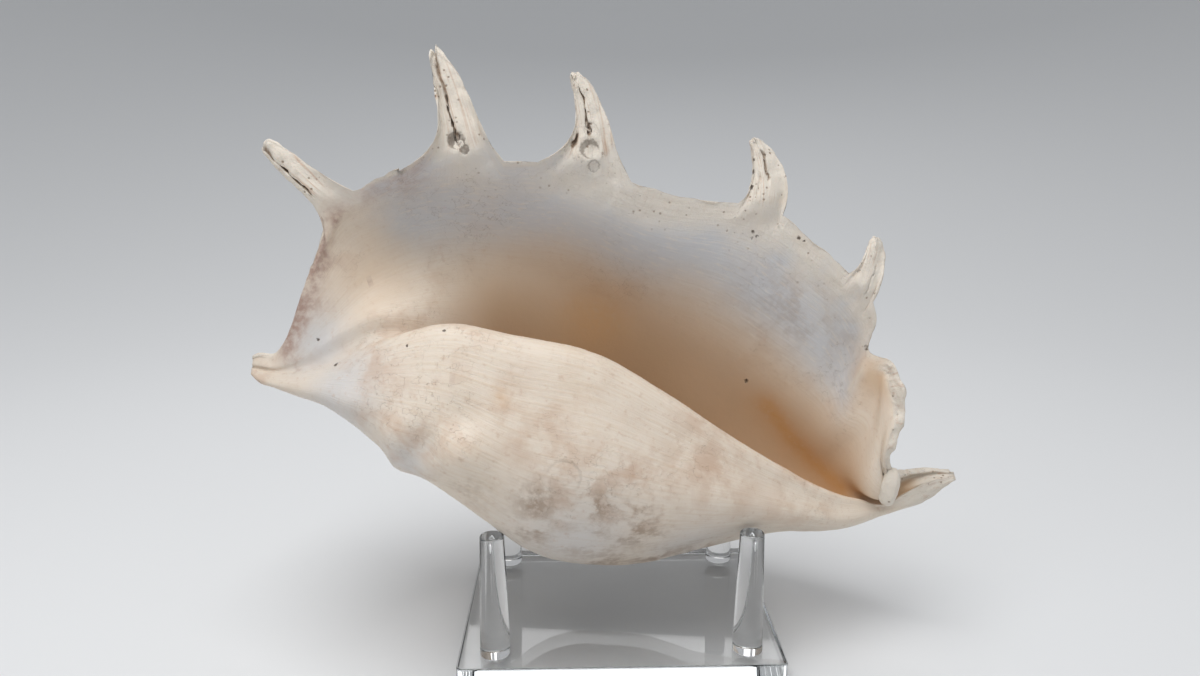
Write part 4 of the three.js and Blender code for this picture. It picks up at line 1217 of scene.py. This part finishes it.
class StudioLook(bpy.types.PropertyGroup):
    """Camera, floor and lights."""

    camera_place: FloatVectorProperty(
        name="Camera", description="Place of the camera", size=3, subtype="TRANSLATION", unit="LENGTH",
        default=(-0.0129, -0.2704, 0.1663))
    camera_down: FloatProperty(
        name="Tilt", description="Below level", default=math.radians(13.76), subtype="ANGLE",
        unit="ROTATION")
    camera_right: FloatProperty(
        name="Turn", description="To the right of +Y", default=math.radians(1.45), subtype="ANGLE",
        unit="ROTATION")
    lens: FloatProperty(name="Lens", description="Millimetres on a 36 mm frame", default=26.1)
    floor: FloatVectorProperty(
        name="Floor", description="Pale floor", size=4, subtype="COLOR", default=linear((222, 223, 224)))
    key_light: FloatProperty(name="Key light", description="Watts from above", default=5.0, unit="POWER")
    fill_light: FloatProperty(
        name="Fill light", description="Watts from the sides", default=0.8, unit="POWER")
    sky: FloatProperty(name="Room light", description="Strength of the pale room", default=0.42)


class SHELL_OT_conch(bpy.types.Operator):
    """Build the conch shell in place of its plain solid"""

    bl_idname = "shell.conch"
    bl_label = "Conch shell"

    def execute(self, context):
        make_shell(shell_material(context.scene.shell_look))
        return {"FINISHED"}


class SHELL_OT_stand(bpy.types.Operator):
    """Build the clear plate and its four pegs"""

    bl_idname = "shell.stand"
    bl_label = "Clear stand"

    def execute(self, context):
        look = context.scene.stand_look
        clear = acrylic_material(look)
        bevel = look.bevel / MM
        thick = look.plate_thickness / MM
        width = look.plate_width / MM
        grids = {"stand_base": plate_grid(width, look.plate_depth / MM, thick, PLATE_CORNER, bevel)}
        for depth_name, y in (("front", -0.5), ("back", 0.5)):
            for side_name, x in (("left", -0.5), ("right", 0.5)):
                grids[f"peg_{depth_name}_{side_name}"] = peg_grid(
                    x * look.peg_spacing_x / MM, y * look.peg_spacing_y / MM, thick + look.gap / MM,
                    (look.peg_height - look.gap) / MM, look.peg_foot / MM, look.peg_top / MM, bevel)
        for name, points in grids.items():
            piece = new_object("clear_" + name, *closed_grid(points), clear)
            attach(piece, "root")
            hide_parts(name)
        return {"FINISHED"}


class SHELL_OT_studio(bpy.types.Operator):
    """Add the camera, a pale floor and soft lights"""

    bl_idname = "shell.studio"
    bl_label = "Plain studio"

    def execute(self, context):
        look = context.scene.studio_look
        scene = context.scene
        camera = bpy.data.objects.new("camera", bpy.data.cameras.new("camera"))
        camera.data.lens = look.lens
        camera.data.sensor_width = SENSOR_WIDTH
        camera.data.clip_start = 0.01
        camera.location = look.camera_place
        camera.rotation_euler = (math.pi / 2 - look.camera_down, 0, -look.camera_right)
        scene.collection.objects.link(camera)
        scene.camera = camera

        paper, tree = new_material("pale_floor")
        place = node(tree, "ShaderNodeTexCoord").outputs["Object"]
        grain = span(tree, cloud(tree, place, 900, 2), 0.3, 0.7, 0.75, 0.85)
        surface = node(tree, "ShaderNodeBsdfPrincipled", {"Base Color": look.floor, "Roughness": grain})
        node(tree, "ShaderNodeOutputMaterial", {"Surface": surface.outputs[0]})
        new_object("pale_floor", *dished_floor(), paper)

        for name, place, size, source, share in LIGHTS:
            self.add_light(name, place, size, share * getattr(look, source))
        world = bpy.data.worlds.new("pale_room")
        world.use_nodes = True
        background = world.node_tree.nodes["Background"]
        background.inputs["Color"].default_value = ROOM_COLOUR
        background.inputs["Strength"].default_value = look.sky
        scene.world = world
        scene.view_settings.view_transform = "Standard"
        scene.cycles.glossy_bounces = 12
        return {"FINISHED"}

    def add_light(self, name, place, size, watts):
        """A square soft light aimed at the shell."""
        light = bpy.data.objects.new(name, bpy.data.lights.new(name, "AREA"))
        light.data.energy = watts
        light.data.size = size
        light.location = place
        aim = mathutils.Vector(LIGHT_AIM) - light.location
        light.rotation_euler = aim.to_track_quat("-Z", "Y").to_euler()
        bpy.context.scene.collection.objects.link(light)


class SHELL_PT_panel(bpy.types.Panel):
    """Lists the pieces and their values"""

    bl_label = "Conch shell"
    bl_idname = "SHELL_PT_panel"
    bl_space_type = "VIEW_3D"
    bl_region_type = "UI"
    bl_category = "Shell"

    def draw(self, context):
        for operator, group in PIECES:
            box = self.layout.box()
            box.operator(operator.bl_idname)
            values = getattr(context.scene, group)
            for name in values.__annotations__:
                box.prop(values, name)


PIECES = (
    (SHELL_OT_conch, "shell_look"),
    (SHELL_OT_stand, "stand_look"),
    (SHELL_OT_studio, "studio_look"),
)
GROUPS = {"shell_look": ShellLook, "stand_look": StandLook, "studio_look": StudioLook}
CLASSES = tuple(GROUPS.values()) + tuple(operator for operator, group in PIECES) + (SHELL_PT_panel,)


def register():
    for part in CLASSES:
        bpy.utils.register_class(part)
    for name, group in GROUPS.items():
        setattr(bpy.types.Scene, name, PointerProperty(type=group))


def unregister():
    for name in GROUPS:
        delattr(bpy.types.Scene, name)
    for part in reversed(CLASSES):
        bpy.utils.unregister_class(part)


def main():
    """Builds the pieces in order."""
    register()
    bpy.ops.shell.conch()
    bpy.ops.shell.stand()
    bpy.ops.shell.studio()


if __name__ == "__main__":
    main()
